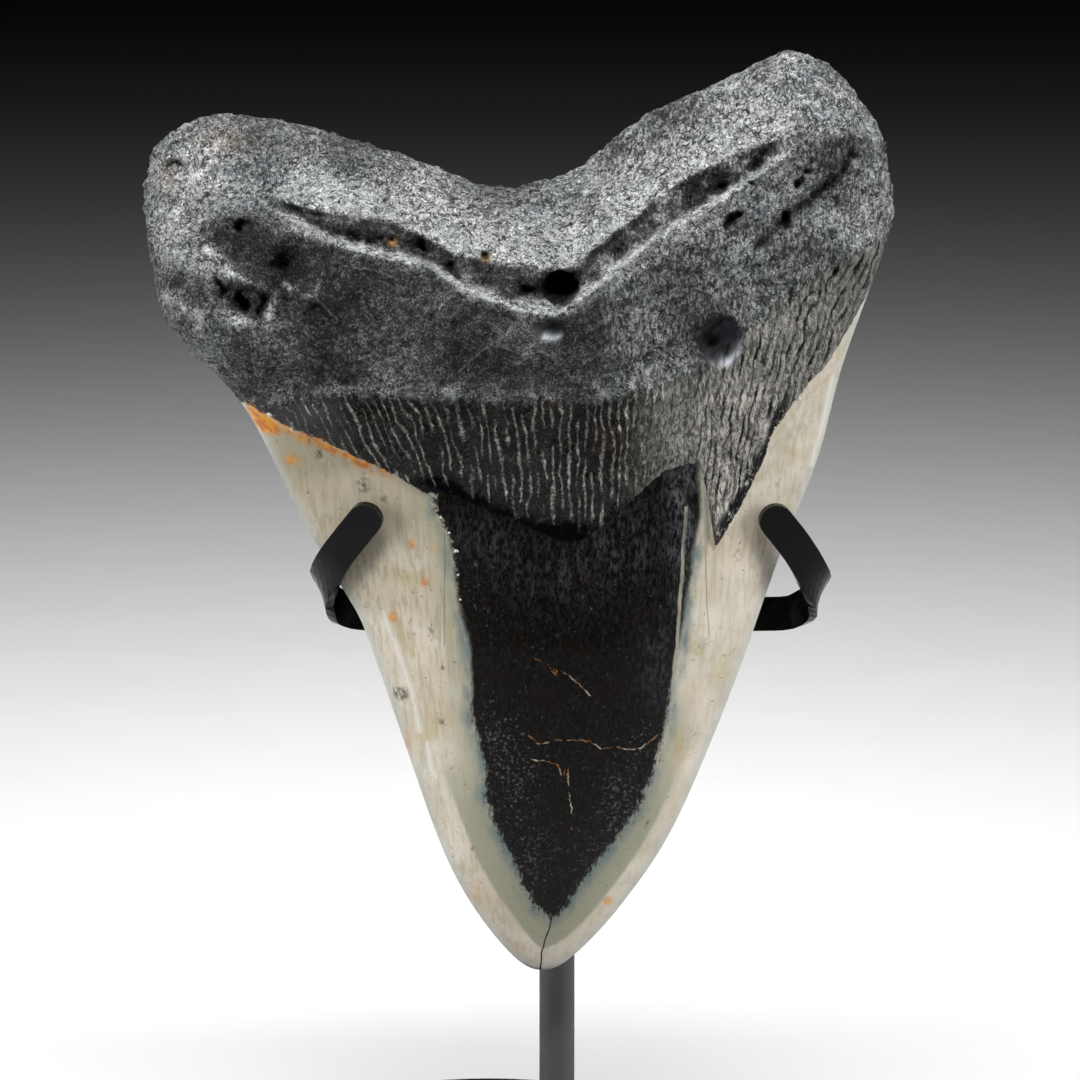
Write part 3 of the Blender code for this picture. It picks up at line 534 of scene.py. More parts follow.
def back_face(x, z):
    """How far the labial face stands behind the rim."""
    side, top, breadth, thin_rim = rim_fields(x, z)
    crown = np.interp(z, CROWN_HEIGHTS, CROWN_FULLNESS_BACK) * breadth
    root = ROOT_BACK + ROOT_BACK_SWELL * smooth_step(*ROOT_BACK_SWELL_FROM, z)
    root = root - ROOT_BACK_LOBE_LOSS * (x / LOBE_REACH) ** 2
    root = root * rounded(side, ROOT_SIDE_ROUND) * rounded(top, ROOT_BACK_TOP_ROUND)
    above = z - at(LABIAL_LINE, x)
    share = smooth_step(-5, 6, above)
    relief = -bowls(BACK_DENTS, x, z)
    rough = ROOT_LUMP * lumps(x, z, ROOT_LUMP_SIZE, 80) * smooth_step(0, 5, above)
    depth = crown + (root - crown) * share + thin_rim * (relief + rough)
    return np.maximum(depth, 0)


# ---- Fields that the relief and the material share ----
THIN_LINES = {
    "hair": [smooth_curve(line)[::3] for line in HAIRLINES], "crack": [TIP_CRACK],
    "vein": [smooth_curve(line)[::4] for line in VEINS],
    "scratch": SCRATCHES, "highlight_strip": HIGHLIGHT_STRIPS, "gleam": GLEAMS,
}


def line_fields(lines, x, z):
    """How far each place lies to the side of the nearest thin line, and how far from it in all."""
    side = np.full(x.shape, 1e9)
    away = np.full(x.shape, 1e9)
    for line in lines:
        for start, end in zip(line[:-1], line[1:]):
            here, aside = off_span(start, end, x, z)
            side = np.where(here < away, aside, side)
            away = np.minimum(away, here)
    return side, away


def patches(places, x, z):
    """Soft round patches at the given places, added up."""
    total = np.zeros_like(x)
    for px, pz, half_width, half_height, amount in places:
        total += amount * np.exp(-(((x - px) / half_width) ** 2) - ((z - pz) / half_height) ** 2)
    return total


def ridge_fields(x, z):
    """A count that is whole and a half on each ridge's middle line, and how strong a ridge is."""
    slant = at(RIDGE_SLANTS, x)
    level = x - slant * (z - RIDGE_LEVEL)
    level = level + 0.40 * lumps(1.6 * x, z, 5.5, 60)
    level = level + 0.14 * lumps(1.4 * x, z, 2.6, 70)
    across = np.linspace(-90, 90, 1801)
    count = np.cumsum((across[1] - across[0]) / np.interp(across, *np.array(RIDGE_PITCHES).T))
    place = np.interp(level, across, count)
    own = np.floor(place)
    strong = 0.55 + 0.5 * ((own * 0.754878) % 1) + 0.8 * lumps(own * 31.7, z, 5, 30)
    feet = at(RIDGE_FEET, x) + 4 * ((own * 0.618034) % 1)
    return place, np.clip(strong, 0, 1) * smooth_step(-0.8, 0.8, z - feet)


def root_tone(x, z):
    """How light the root is painted on the lingual face, 0 to 1: partly the stone's own tone, partly
    painted light and shade.
    """
    crest = at(CREST, x)
    above_furrow = np.maximum(z - at(FURROW_TOP, x), 0)
    ends = at(FURROW_ENDS, x)
    # The upper slope and the furrow's edge are lighter: partly painted light from above.
    upper = UPPER_TONE + FURROW_EDGE_LIGHT * ends * bell(above_furrow, FURROW_EDGE_REACH)
    lower = at(LOWER_TONES, x)
    uneven = 0.8 * lumps(x, z, 6, 15)
    light = lower + (upper - lower) * smooth_step(-2.6, 0.8, z - crest + uneven + at(SHELF, x))
    light += patches(ROOT_PATCHES, x, z) + 0.10 * lumps(x, z, 7, 25)
    broken = 0.65 + 0.7 * lumps(x, z, 2.2, 45)
    # Painted highlights on the rims and lips of the hollows.
    for line, half_width, amount in ROOT_RIM_HIGHLIGHTS:
        light += amount * broken * groove(line, x, z, half_width)
    # The furrow's wall and the lobe's crack are darkened: painted shade.
    climb = furrow_climb(x, z)
    wall_shade = ends * smooth_step(0.10, 0.26, climb) * (1 - smooth_step(0.84, 1.10, climb))
    wall_shade *= 0.85 + 0.4 * lumps(x, z, 2.4, 35)
    wall_shade = np.maximum(wall_shade, 0.9 * groove(LOBE_CRACK, x, z, 0.8))
    # A painted highlight along the furrow's lip.
    light += LIP_HIGHLIGHT * ends * broken * groove(LIP, x, z, LIP_HIGHLIGHT_WIDTH)
    over_ridges = z - at(RIDGE_TOPS, x) - 1.2
    light += FRAY_TONE * at(FRAY_ENDS, x) * bell(over_ridges, 1.6)
    return np.clip(light, 0.04, 0.95) * (1 - 0.94 * np.clip(wall_shade, 0, 1))


# ---- The tooth's mesh ----
def rim_y(z):
    """The y of the tooth's rim."""
    return RIM_LEAN * smooth_step(100, 150, z)


def closed_tooth_mesh():
    """One closed mesh: a fine grid in front, one of half its density behind, sharing the rim."""
    places = outline_grid()
    x, z = places[..., 0], places[..., 1]
    sparse = (slice(None, None, 2), slice(None, None, 2))
    front, back = front_face(x, z), back_face(x[sparse], z[sparse])
    rim = rim_y(z)
    edge = np.ones(x.shape, dtype=bool)
    edge[1:-1, 1:-1] = False

    front_y = np.where(edge, rim, rim - front)
    rows, columns = x.shape
    index = np.arange(rows * columns).reshape(rows, columns)
    vertices = np.stack([x, front_y, z], axis=-1).reshape(-1, 3)
    quads = np.stack([index[:-1, :-1], index[:-1, 1:], index[1:, 1:], index[1:, :-1]], axis=-1)
    faces = quads.reshape(-1, 4).tolist()

    back_index = np.full(back.shape, -1)
    back_index[0], back_index[-1] = index[0, ::2], index[-1, ::2]
    back_index[:, 0], back_index[:, -1] = index[::2, 0], index[::2, -1]
    inner = back_index < 0
    back_index[inner] = np.arange(inner.sum()) + len(vertices)
    bx, bz, by = x[sparse][inner], z[sparse][inner], (rim[sparse] + back)[inner]
    vertices = np.vstack([vertices, np.stack([bx, by, bz], axis=-1)])
    last_row, last_column = back.shape[0] - 2, back.shape[1] - 2
    for i in range(back.shape[0] - 1):
        for j in range(back.shape[1] - 1):
            corners = [
                (True, back_index[i, j]), (j == 0, index[2 * i + 1, 0]),
                (True, back_index[i + 1, j]), (i == last_row, index[-1, 2 * j + 1]),
                (True, back_index[i + 1, j + 1]), (j == last_column, index[2 * i + 1, -1]),
                (True, back_index[i, j + 1]), (i == 0, index[0, 2 * j + 1]),
            ]
            faces.append([int(corner) for used, corner in corners if used])

    mesh = bpy.data.meshes.new("fossil_tooth")
    mesh.from_pydata(vertices, [], faces)
    on_front = np.arange(len(vertices)) < rows * columns
    return mesh, vertices, on_front


def tooth_fields(x, z, on_front):
    """The fields over the mesh's vertices that the material paints from."""
    left, right, top = rim_distances(x, z)
    place, strong = ridge_fields(x, z)
    smooth_floor = np.max([
        1 - ((x - px) / half_width) ** 2 - ((z - pz) / half_height) ** 2
        for px, pz, half_width, half_height in SMOOTH_DENTS
    ], axis=0)
    below = at(RIDGE_TOPS, x) - z
    edge = np.minimum(np.minimum(left, right), top)
    back_tone = BACK_TONE + BACK_TONE_SWING * lumps(x, z, 9, 55)
    back_tone -= BACK_DENT_TONE * bowls(BACK_DENTS, x, z)
    back_panel = BACK_PANEL_INSIDE - 0.5 * np.abs(x - BACK_PANEL_MIDDLE)
    on_back = {
        "above_line": z - at(LABIAL_LINE, x), "below_top": -FAR, "ridge_strength": 0,
        "tone": np.clip(back_tone, 0.05, 0.9), "hole": 0, "orange": 0, "grey": 0, "haze": 0,
        "panel": np.minimum(back_panel, 0.6 * edge - 2.4), "speckled": 0.3, "foot": FAR, "smooth_floor": -1,
    }
    on_front_face = {
        "above_line": z - at(CROWN_LINE, x) + at(SHOULDER, x), "below_top": below, "ridge_place": place,
        "ridge_strength": strong, "bark": smooth_step(*BARK_START, x), "tone": root_tone(x, z),
        "panel": inside_by(PANEL, x, z), "hole": holes(x, z),
        "orange": patches(ORANGE_STAINS, x, z), "grey": patches(GREY_STAINS_AND_STRAP_SHADOW, x, z),
        "speckled": patches(SPECKLED, x, z), "foot": z - at(RIDGE_FEET, x),
        "smooth_floor": np.maximum(smooth_floor, -1), "haze": patches(HAZE, x, z),
        "edge": edge, "across": x, "up": z,
    }
    for name, lines in THIN_LINES.items():
        on_front_face[name + "_side"], on_front_face[name + "_away"] = line_fields(lines, x, z)
        on_back[name + "_away"] = FAR
    return {
        name: np.where(on_front, values, on_back.get(name, values))
        for name, values in on_front_face.items()
    }


def fine_relief(vertices, fields):
    """How far each vertex moves outward: ridges, hairlines and the root's grain."""
    in_band = smooth_step(-1.5, 1, fields["below_top"]) * smooth_step(-0.5, 1.5, fields["above_line"])
    aside = np.abs(fields["ridge_place"] % 1 - 0.5)
    line = 1 - smooth_step(0, RIDGE_HALF_WIDTH, aside)
    ridge = RIDGE_HEIGHT * line * fields["ridge_strength"] * (1 - 2 * fields["bark"])
    ridge *= 1 - 0.6 * smooth_step(18, 28, -fields["across"])
    rooted = smooth_step(-0.3, 0.8, fields["above_line"]) * (1 - in_band)
    grain = roughness_of(vertices, *COARSE_GRAIN) + roughness_of(vertices + 90, *FINE_GRAIN)
    pitted = np.minimum(roughness_of(vertices + 50, *PITS), 0)
    hair = HAIR_HEIGHT * bell(fields["hair_away"], HAIR_WIDTH)
    return in_band * (ridge + 0.2 * grain) + rooted * (grain + pitted + hair)


def make_tooth():
    """The tooth, with its fine relief and the fields that its material paints from."""
    mesh, vertices, on_front = closed_tooth_mesh()
    fields = tooth_fields(vertices[:, 0], vertices[:, 2], on_front)
    normals = np.zeros(len(vertices) * 3)
    mesh.vertex_normals.foreach_get("vector", normals)
    vertices = vertices + normals.reshape(-1, 3) * fine_relief(vertices, fields)[:, None]
    mesh.vertices.foreach_set("co", ((vertices + TOOTH_TIP) * MM).ravel())
    mesh.update()
    for name, values in fields.items():
        layer = mesh.attributes.new(name, "FLOAT", "POINT")
        layer.data.foreach_set("value", np.asarray(values, dtype=np.float32))
    tooth = bpy.data.objects.new("fossil_tooth", mesh)
    bpy.context.collection.objects.link(tooth)
    mesh.shade_smooth()
    return tooth


def make_crumbs():
    """Crumbs of white sediment, lumpy and half sunk where root and crown meet."""
    crumbs = bmesh.new()
    for number, (x, z, size) in enumerate(CRUMBS):
        place = np.array([x]), np.array([z])
        surface = (rim_y(place[1]) - front_face(*place))[0]
        fresh = bmesh.ops.create_icosphere(crumbs, subdivisions=3, radius=size * 0.5)["verts"]
        for vertex in fresh:
            spot = vertex.co * 2.2 / size + Vector((number, 0, 0))
            vertex.co *= 1 + CRUMB_LUMPS * noise.fractal(spot, 0.8, 2.1, 3)
            vertex.co.x *= CRUMB_BREADTH
        bmesh.ops.translate(crumbs, vec=(x, surface, z), verts=fresh)
    bmesh.ops.translate(crumbs, vec=TOOTH_TIP, verts=crumbs.verts)
    bmesh.ops.scale(crumbs, vec=(MM, MM, MM), verts=crumbs.verts)
    mesh = bpy.data.meshes.new("sediment_crumbs")
    crumbs.to_mesh(mesh)
    crumbs.free()
    made = bpy.data.objects.new("sediment_crumbs", mesh)
    bpy.context.collection.objects.link(made)
    mesh.shade_smooth()
    return made


# ---- Shader tools ----
def tone(red, green, blue):
    """A display colour, 0 to 255, as the linear colour that a shader takes."""
    shares = [value / 255.0 for value in (red, green, blue)]
    linear = [s / 12.92 if s <= 0.04045 else ((s + 0.055) / 1.055) ** 2.4 for s in shares]
    return (*linear, 1.0)


class Shader:
    """A node material written as expressions: each method adds one node and returns its output."""

    def __init__(self, name):
        self.material = bpy.data.materials.new(name)
        self.material.use_nodes = True
        self.tree = self.material.node_tree
        self.surface = self.tree.nodes["Principled BSDF"]
        self.places = self.add("ShaderNodeTexCoord").outputs["Object"]

    def add(self, kind, **settings):
        node = self.tree.nodes.new(kind)
        for name, value in settings.items():
            setattr(node, name, value)
        return node

    def feed(self, socket, value):
        """Gives a socket a constant or another node's output."""
        if isinstance(value, bpy.types.NodeSocket):
            self.tree.links.new(value, socket)
        else:
            socket.default_value = value

    def field(self, name):
        return self.add("ShaderNodeAttribute", attribute_name=name).outputs["Fac"]

    def paint(self, name, value):
        """Gives an input of the surface a constant or another node's output."""
        self.feed(self.surface.inputs[name], value)

    def math(self, operation, first, second=0.0):
        node = self.add("ShaderNodeMath", operation=operation)
        self.feed(node.inputs[0], first)
        self.feed(node.inputs[1], second)
        return node.outputs[0]

    def times(self, first, *others):
        for other in others:
            first = self.math("MULTIPLY", first, other)
        return first

    def plus(self, first, second):
        return self.math("ADD", first, second)

    def minus(self, first, second):
        return self.math("SUBTRACT", first, second)

    def swing(self, value, reach):
        """A value about 0.5 as one about 0, which swings by half the reach to each side."""
        return self.times(self.minus(value, 0.5), reach)

    def step(self, *levels):
        """A smooth change: the value, its two bounds and, other than 0 and 1, what they turn into."""
        node = self.add("ShaderNodeMapRange", interpolation_type="SMOOTHSTEP")
        for socket, item in zip(node.inputs, levels):
            self.feed(socket, item)
        return node.outputs[0]

    def fall(self, value, low, high):
        return self.step(value, low, high, 1.0, 0.0)

    def mix(self, share, first, second):
        """A blend of two colours; a constant one is given as display values, 0 to 255."""
        node = self.add("ShaderNodeMix", data_type="RGBA")
        self.feed(node.inputs["Factor"], share)
        for socket, colour in zip(node.inputs[6:8], (first, second)):
            self.feed(socket, tone(*colour) if isinstance(colour, tuple) else colour)
        return node.outputs[2]

    def noise(self, size, tall=1, deep=1, detail=3, roughness=0.55, shift=0, twist=0):
        """Noise about 0.5, whose lumps have a size in millimetres and are that much taller or deeper."""
        mapping = self.add("ShaderNodeMapping")
        self.feed(mapping.inputs["Vector"], self.places)
        mapping.inputs["Location"].default_value = (shift, shift, shift)
        mapping.inputs["Scale"].default_value = [1.0 / (size * MM * s) for s in (1, deep, tall)]
        node = self.add("ShaderNodeTexNoise")
        self.feed(node.inputs["Vector"], mapping.outputs[0])
        node.inputs["Scale"].default_value = 1.0
        node.inputs["Detail"].default_value = detail
        node.inputs["Roughness"].default_value = roughness
        node.inputs["Distortion"].default_value = twist
        return node.outputs["Fac"]

    def bump(self, height, millimetres):
        """Fine relief: the height input, 0 to 1, stands for this many millimetres."""
        node = self.add("ShaderNodeBump")
        node.inputs["Distance"].default_value = millimetres * MM
        node.inputs["Strength"].default_value = 1.0
        self.feed(node.inputs["Height"], height)
        return node.outputs[0]


# ---- Materials ----
def thin_line(s, name, half_width, wander, size=2):
    """1 on the thin lines of that name, which wander sideways with noise of the given size."""
    bend = s.swing(s.noise(size, shift=11), wander)
    off = s.math("ABSOLUTE", s.plus(s.field(name + "_side"), bend))
    near = s.fall(s.field(name + "_away"), 0.5, 1.1)
    return s.times(s.fall(off, 0.4 * half_width, half_width), near)


def ridge_line(s):
    """1 on the ridges' middle lines, which are thicker and thinner by turns."""
    bend = s.swing(s.noise(2.2, detail=5, roughness=0.7, shift=11), 0.85)
    place = s.math("FRACT", s.plus(s.field("ridge_place"), bend))
    off = s.math("ABSOLUTE", s.minus(place, 0.5))
    thick = s.swing(s.noise(1.3, detail=4, roughness=0.7, shift=19), 0.7)
    return s.fall(s.plus(off, thick), 0.05, 0.22)


def enamel_colour(s):
    """Cream, olive and blue-grey enamel round the dark panel, with its stains, pores and cracks, painted
    highlights on its bevels and strips, and the right strap's painted shadow.
    """
    across, up = s.field("across"), s.field("up")
    near = s.plus(s.field("panel"), s.swing(s.noise(2.6, tall=2.5, detail=4), 1.6))
    pale = s.step(s.noise(9, detail=4), 0.35, 0.65)
    cream = s.mix(pale, (208, 200, 180), (230, 223, 208))
    cream = s.mix(s.step(s.noise(13, shift=4), 0.48, 0.70, 0, 0.6), cream, (222, 204, 182))
    cream = s.mix(s.step(s.noise(6, shift=8), 0.52, 0.75), cream, (206, 194, 158))
    streak = s.noise(0.9, tall=26, detail=4, roughness=0.65)
    left = s.fall(across, -14, 4)
    streaked = s.times(s.step(streak, 0.46, 0.62), s.step(up, 50, 80, 0.25, 0.5),
                       s.step(left, 0, 1, 0.5, 1))
    cream = s.mix(streaked, cream, (134, 126, 94))
    # The cream's upper left is darker: partly the enamel's own colour, partly painted shade.
    high = s.times(s.step(up, 58, 92), left)
    cream = s.mix(s.times(high, 0.75), cream, (178, 168, 142))
    clear_side = s.times(s.step(across, 18, 23), s.step(up, 46, 56))
    olive = s.times(s.step(near, -6, -2), s.minus(1, clear_side))
    cream = s.mix(s.times(olive, 0.55), cream, (164, 164, 140))
    bevel = s.step(across, -6, 6, 5.4, 3.7)
    inner = s.step(s.minus(s.field("edge"), bevel), -0.4, 0.4)
    inner = s.times(inner, s.step(up, 26, 46, 0.8, 0))
    cream = s.mix(inner, cream, (156, 157, 136))
    wash = s.step(s.noise(3, tall=2, detail=4, shift=51), 0.35, 0.65, 0.25, 0.9)
    wash = s.times(wash, s.step(near, -2.6, -0.6))
    cream = s.mix(wash, cream, (112, 127, 130))
    pores = s.step(s.noise(0.7, detail=1, shift=2), 0.70, 0.76, 0, 0.6)
    cream = s.mix(pores, cream, (112, 106, 86))
    rim = s.step(s.field("edge"), 0.3, 2.2, 0.45, 0)
    cream = s.mix(rim, cream, (196, 202, 202))
    # Grey stains, and the right strap's painted shadow across the enamel.
    grey = s.times(s.field("grey"), s.step(s.noise(0.8), 0.25, 0.60))
    cream = s.mix(s.step(grey, 0.15, 0.85, 0, 0.85), cream, (84, 84, 82))
    ragged = s.swing(s.noise(1.6, detail=4), 1.6)
    by_root = s.times(s.step(s.plus(s.field("above_line"), ragged), -3.2, -0.9),
                      s.step(across, -29, -24, 0.8, 0), s.step(across, -53, -51),
                      s.step(s.noise(2.2, detail=4, shift=23), 0.3, 0.52))
    orange = s.math("MAXIMUM", s.field("orange"), by_root)
    orange = s.times(orange, s.step(s.noise(1.1, detail=4), 0.25, 0.55, 0.45, 1))
    rust = s.mix(s.step(s.noise(1.8, shift=27), 0.4, 0.6), (236, 160, 30), (200, 110, 4))
    cream = s.mix(s.step(orange, 0.1, 1), cream, rust)
    cream = s.mix(thin_line(s, "crack", 0.19, 0.4), cream, (48, 50, 50))
    scratch = s.times(thin_line(s, "scratch", 0.14, 0.3), 0.6)
    cream = s.mix(scratch, cream, (110, 104, 96))
    # Painted highlights along the bevels: a soft glow and a brighter core.
    gleam = s.step(s.field("gleam_away"), 0.1, 1, 0.5, 0)
    cream = s.mix(gleam, cream, (236, 234, 226))
    gleam = s.times(thin_line(s, "gleam", 0.24, 0.5), 0.35)
    cream = s.mix(gleam, cream, (244, 242, 236))

    fibre = s.noise(0.55, tall=2.4, detail=4, roughness=0.7)
    dark = s.mix(s.step(fibre, 0.38, 0.72), (8, 7, 6), (30, 28, 27))
    dark = s.mix(s.step(s.noise(5, shift=6), 0.45, 0.70, 0, 0.6), dark, (20, 12, 7))
    wisps = s.noise(1.6, tall=4, detail=5, roughness=0.75, shift=61)
    haze = s.times(s.field("haze"), s.step(wisps, 0.36, 0.60, 0.1, 1))
    dark = s.mix(haze, dark, s.mix(s.step(fibre, 0.4, 0.62), (26, 26, 29), (104, 104, 108)))
    speck = s.noise(0.62, detail=2, roughness=0.6, shift=9)
    speck = s.plus(speck, s.times(s.field("speckled"), 0.15))
    dark = s.mix(s.step(speck, 0.62, 0.90), dark, (94, 95, 96))
    vein = s.times(thin_line(s, "vein", 0.15, 1.1, 1.2), s.step(s.noise(1.2, shift=14), 0.42, 0.58))
    vein_tone = s.mix(s.step(s.noise(4, shift=17), 0.42, 0.58), (150, 98, 48), (176, 168, 150))
    dark = s.mix(vein, dark, vein_tone)
    frayed = s.swing(fibre, s.step(up, 60, 30, 1, 5))
    enamel = s.mix(s.step(s.plus(near, frayed), -0.6, 0.5), cream, dark)
    crumbs = s.times(s.fall(s.math("ABSOLUTE", near), 0.3, 0.9), high,
                     s.step(s.noise(0.9, roughness=0.7, shift=29), 0.46, 0.56))
    enamel = s.mix(crumbs, enamel, (178, 170, 152))
    # Painted highlights: the cream strips beside the panel, broken up by noise.
    highlight_breaks = s.step(s.noise(2.4, tall=4, detail=4, shift=53), 0.38, 0.58, 0.2, 0.9)
    highlight_strip = s.times(thin_line(s, "highlight_strip", 0.42, 0.9, 4), highlight_breaks)
    enamel = s.mix(highlight_strip, enamel, (172, 168, 152))
    return enamel, fibre


def root_colour(s):
    """Grey stone over the ridged band, painted light on its upper slope and painted shade below, with
    painted glints and painted shade in creases, holes and under the ledge.
    """
    across, light = s.field("across"), s.field("tone")
    fine = s.noise(0.75, detail=4, roughness=0.8, twist=1.6)
    upright = s.noise(0.6, tall=2.6, detail=4, roughness=0.8, shift=2, twist=0.8)
    is_upright = s.times(s.step(across, 2, 16), s.fall(light, 0.5, 0.6))
    fine = s.plus(s.times(fine, s.minus(1, is_upright)), s.times(upright, is_upright))
    clump = s.noise(2.6, detail=4, roughness=0.65, shift=5, twist=1.2)
    grit = s.plus(s.times(fine, 0.77), s.times(clump, 0.23))
    threshold = s.minus(0.56, s.times(light, 0.13))
    speck = s.step(grit, s.minus(threshold, 0.06), s.plus(threshold, 0.08))
    low = s.mix(light, (5, 5, 6), (100, 102, 103))
    high = s.mix(light, (96, 95, 91), (246, 249, 248))
    stone = s.mix(speck, low, high)
    blue = s.times(s.step(s.noise(9, shift=41), 0.42, 0.62), 0.2, s.step(light, 0.15, 0.5))
    stone = s.mix(blue, stone, (104, 122, 134))
    # Painted glints: white specks, more of them where the root is painted lighter.
    painted_glints = s.step(s.noise(0.9, roughness=0.7, twist=1.2, shift=31), 0.56, 0.62)
    painted_glints = s.times(painted_glints, s.step(light, 0.22, 0.66, 0.06, 0.82))
    stone = s.mix(painted_glints, stone, (252, 253, 250))
    pits = s.noise(1.2, roughness=0.7, twist=1.2, shift=37)
    stone = s.mix(s.step(pits, 0.38, 0.44, 0.85, 0), stone, (22, 22, 22))
    tan = s.times(s.step(s.field("orange"), 0.1, 1.1), s.step(fine, 0.42, 0.55, 0.3, 1))
    stone = s.mix(tan, stone, (188, 140, 84))
    # Painted shade in thin creases, which the bump also sinks.
    crease = s.math("ABSOLUTE", s.minus(s.noise(5, detail=4, shift=57, twist=2), 0.5))
    crease = s.times(s.step(crease, 0.004, 0.02, 0.7, 0), s.step(light, 0.15, 0.4))
    stone = s.mix(crease, stone, (24, 25, 27))
    hair = s.times(thin_line(s, "hair", 0.27, 1.3, 1.8), s.step(fine, 0.40, 0.54, 0.1, 0.9))
    stone = s.mix(hair, stone, (128, 130, 128))
    # Painted shade: the holes are painted near black.
    hollow_shade = s.plus(s.field("hole"), s.swing(clump, 4))
    stone = s.mix(s.step(hollow_shade, 0.5, 1.7, 0, 0.9), stone, (12, 12, 12))

    bark = s.field("bark")
    broken = s.plus(s.field("ridge_strength"), s.minus(fine, 0.5))
    line = s.times(ridge_line(s), s.step(broken, 0.1, 0.8))
    from_left = s.step(across, -38, -30)  # the band's floor is blacker from here on
    # Painted shadow: just under the ledge the band's floor goes black, with noise.
    under = s.times(s.minus(s.field("below_top"), 5), 0.02)
    hollow_shade = s.plus(s.noise(4, detail=4, shift=43), under)
    hollow_shade = s.times(from_left, s.fall(hollow_shade, 0.48, 0.55))
    ground = s.mix(from_left, (60, 60, 60), (20, 20, 20))
    ground = s.mix(hollow_shade, ground, (8, 7, 6))
    ground = s.mix(s.step(fine, 0.51, 0.63, 0, 0.7), ground, (86, 83, 77))
    foot = s.fall(s.plus(s.field("foot"), s.swing(clump, 8)), 0.5, 4)
    ground = s.mix(foot, ground, (6, 6, 6))
    rust = s.times(s.field("orange"), s.step(fine, 0.45, 0.6))
    ground = s.mix(rust, ground, (104, 62, 34))
    ridge = s.mix(from_left, (78, 78, 76), (96, 95, 90))
    ridge = s.mix(s.step(fine, 0.48, 0.60, 0, 0.8), ridge, (214, 213, 207))
    ridged = s.mix(line, ground, ridge)
    crack = s.mix(s.step(fine, 0.40, 0.60), (94, 92, 86), (218, 215, 206))
    torn = s.step(s.noise(2.4, tall=2.2, detail=4, shift=47), 0.40, 0.54)
    crack = s.mix(s.step(s.field("up"), 90, 122, 0, 0.6), crack, (46, 45, 43))
    cracked = s.mix(s.times(line, torn), crack, (24, 23, 22))
    ridged = s.mix(bark, ridged, cracked)
    by_crown = s.plus(s.field("above_line"), s.swing(clump, 3))
    dark_rim = s.times(s.fall(by_crown, 2.8, 4.8), s.step(across, 27, 31), s.fall(across, 41, 44))
    grains = s.mix(s.step(fine, 0.56, 0.64), (20, 20, 20), (196, 194, 188))
    ridged = s.mix(dark_rim, ridged, grains)

    fray = s.swing(s.noise(1.5, tall=4, detail=4, shift=21), 7)
    in_band = s.step(s.plus(s.field("below_top"), fray), -0.5, 0.5)
    stone = s.mix(in_band, stone, ridged)
    # Smooth dent floors take their colour from the painted tone: dark in the bowl, with a painted highlight
    # on the lower rim.
    floor = s.step(s.field("smooth_floor"), -0.1, 0.3, 0, 0.9)
    lit = s.math("POWER", light, 1.8)
    stone = s.mix(floor, stone, s.mix(lit, (30, 32, 37), (220, 224, 230)))
    height = s.plus(s.times(clump, 0.5), s.times(fine, 0.5))
    height = s.plus(height, s.times(s.minus(hair, crease), 0.4))
    dull = s.math("MAXIMUM", line, bark)
    glossy = s.times(in_band, s.math("MAXIMUM", foot, hollow_shade), s.minus(1, dull))
    return stone, s.times(height, s.minus(1, floor)), in_band, line, glossy


def fossil():
    """The tooth's one material: polished enamel below, rough stone above."""
    s = Shader("fossil")
    enamel, fibre = enamel_colour(s)
    stone, height, in_band, line, glossy = root_colour(s)
    crumbly = s.swing(s.noise(1.3, detail=5, roughness=0.7), 2)
    rooted = s.step(s.plus(s.field("above_line"), crumbly), -0.15, 0.15)
    s.paint("Base Color", s.mix(rooted, enamel, stone))
    dull = s.times(rooted, s.minus(1, glossy))
    s.paint("Roughness", s.step(dull, 0, 1, 0.24, 0.6))
    s.paint("Specular IOR Level", 0.2)
    ridge = s.times(line, s.minus(0.5, s.field("bark")))
    relief = s.plus(s.times(height, s.step(in_band, 0, 1, 1, 0.35)), s.times(ridge, in_band, 0.6))
    rough = s.bump(s.times(relief, s.minus(1, glossy)), 1.2)
    polished = s.bump(fibre, 0.015)
    blend = s.add("ShaderNodeMix", data_type="VECTOR")
    s.feed(blend.inputs["Factor"], rooted)
    s.feed(blend.inputs[4], polished)
    s.feed(blend.inputs[5], rough)
    s.paint("Normal", blend.outputs[1])
    return s.material


def sediment():
    """Chalky white sediment."""
    s = Shader("sediment")
    grain = s.noise(0.5)
    s.paint("Base Color", s.mix(grain, (190, 186, 176), (240, 238, 232)))
    s.paint("Roughness", 0.7)
    s.paint("Normal", s.bump(grain, 0.12))
    return s.material


def satin_black(name, grey, roughness, speck):
    """Black paint on metal with the faint orange-peel and dust of a handled stand."""
    s = Shader(name)
    dust = s.noise(0.6, detail=4, roughness=0.7, shift=3)
    colour = s.mix(s.step(dust, 0.70, 0.80), (grey, grey, grey), (speck, speck, speck))
    s.paint("Base Color", colour)
    wear = s.noise(5)
    s.paint("Roughness", s.step(wear, 0.3, 0.7, roughness - 0.06, roughness + 0.06))
    s.paint("Specular IOR Level", 0.25)
    s.paint("Normal", s.bump(s.noise(0.8, detail=2), 0.02))
    return s.material


def lacquered_wood():
    """Dark turned wood under lacquer."""
    s = Shader("base_wood")
    grain = s.noise(1.6, deep=14, detail=5, roughness=0.65)
    pores = s.noise(0.35, deep=16, detail=2)
    colour = s.mix(s.step(grain, 0.35, 0.68), (24, 15, 11), (58, 36, 25))
    colour = s.mix(s.step(pores, 0.6, 0.7), colour, (14, 9, 7))
    s.paint("Base Color", colour)
    s.paint("Roughness", s.step(pores, 0.4, 0.7, 0.28, 0.4))
    s.paint("Normal", s.bump(pores, -0.03))
    s.paint("Coat Weight", 0.5)
    s.paint("Coat Roughness", 0.15)
    return s.material


def repaint(name, material):
    """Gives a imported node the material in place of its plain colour."""
    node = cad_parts[name]
    for slot in node.material_slots:
        slot.material = material


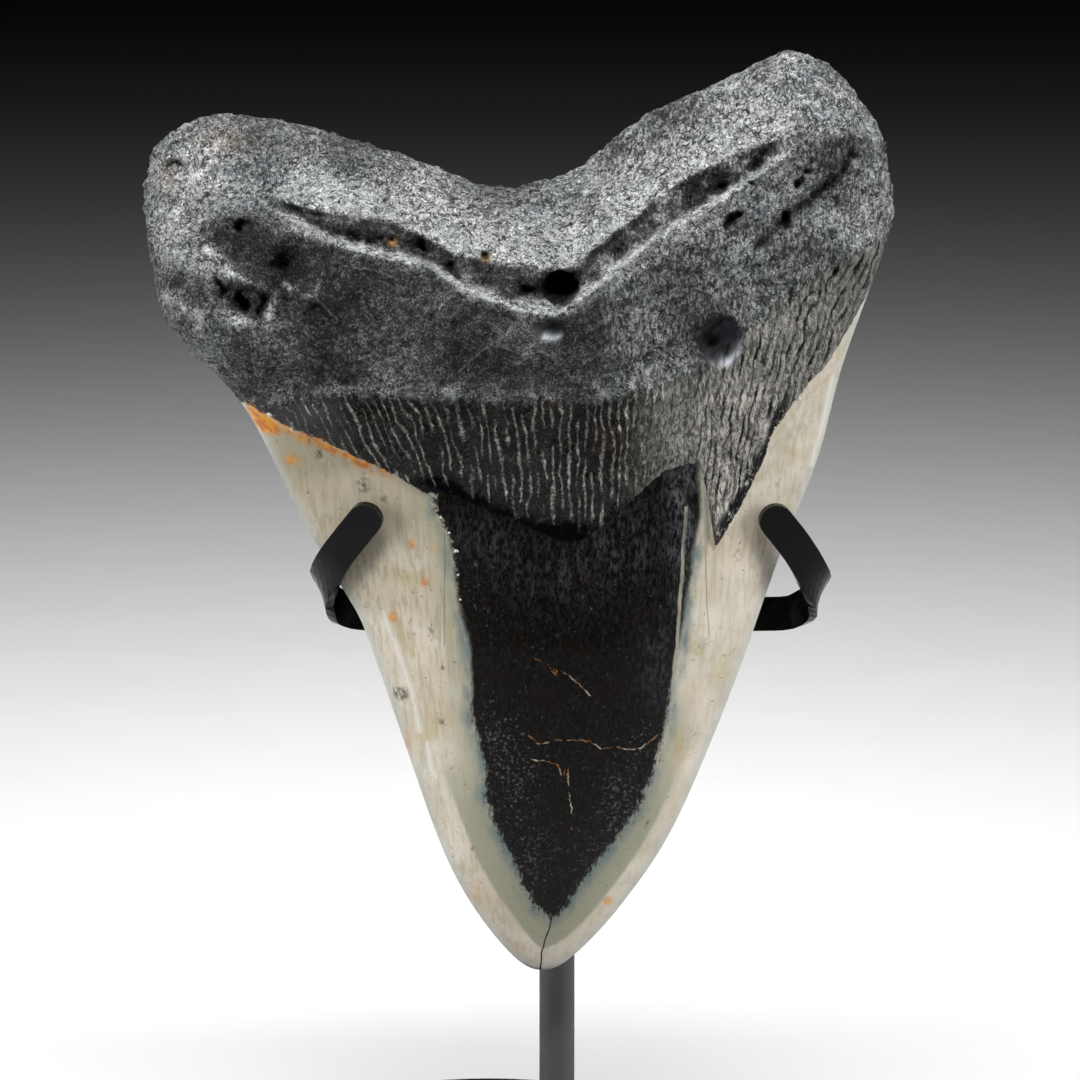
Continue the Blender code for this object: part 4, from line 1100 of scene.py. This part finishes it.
# ---- Studio ----
def aimed(name, data, place, aim):
    """A new camera or light at a place, facing the aim."""
    thing = bpy.data.objects.new(name, data)
    thing.location = place
    thing.rotation_euler = (Vector(aim) - Vector(place)).to_track_quat("-Z", "Y").to_euler()
    bpy.context.collection.objects.link(thing)
    return thing


def add_light(name, place, aim, size, watts, spread):
    """A rectangular soft light that the camera doesn't see."""
    data = bpy.data.lights.new(name, "AREA")
    data.shape = "RECTANGLE"
    data.size, data.size_y = size
    data.energy = watts
    data.spread = math.radians(spread)
    aimed(name, data, place, aim).visible_camera = False


def make_studio():
    """A pale floor, a faint even light from all round and the soft lights."""
    bpy.ops.mesh.primitive_plane_add(size=FLOOR_SIDE)
    floor = bpy.context.object
    floor.name = "floor"
    s = Shader("floor_paper")
    s.paint("Base Color", s.mix(s.noise(40.0), (212, 212, 212), (218, 218, 218)))
    s.paint("Roughness", 0.9)
    floor.data.materials.append(s.material)
    world = bpy.data.worlds.new("studio")
    world.use_nodes = True
    sky = world.node_tree.nodes["Background"].inputs
    sky["Color"].default_value = (1.0, 1.0, 1.0, 1.0)
    sky["Strength"].default_value = WORLD_LIGHT
    bpy.context.scene.world = world
    for name, light in LIGHTS.items():
        add_light(name, *light)
    bpy.context.scene.view_settings.view_transform = "Standard"


def make_camera():
    """The camera, level with the tooth's crown and looking slightly down."""
    data = bpy.data.cameras.new("camera")
    data.angle = 2.0 * math.atan(FRAME_HALF_WIDTH / CAMERA_DISTANCE)
    lift = math.radians(CAMERA_ELEVATION)
    target = Vector(CAMERA_TARGET)
    place = target + CAMERA_DISTANCE * Vector((0.0, -math.cos(lift), math.sin(lift)))
    bpy.context.scene.camera = aimed("camera", data, place, target)


def main():
    tooth = make_tooth()
    tooth.data.materials.append(fossil())
    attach(tooth, "root")
    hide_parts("tooth")
    crumbs = make_crumbs()
    crumbs.data.materials.append(sediment())
    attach(crumbs, "root")
    strap_paint = satin_black("strap_paint", *STRAP_PAINT)
    repaint("left_arm", strap_paint)
    repaint("right_arm", strap_paint)
    repaint("post", satin_black("post_paint", *POST_PAINT))
    repaint("base", lacquered_wood())
    make_studio()
    make_camera()


main()
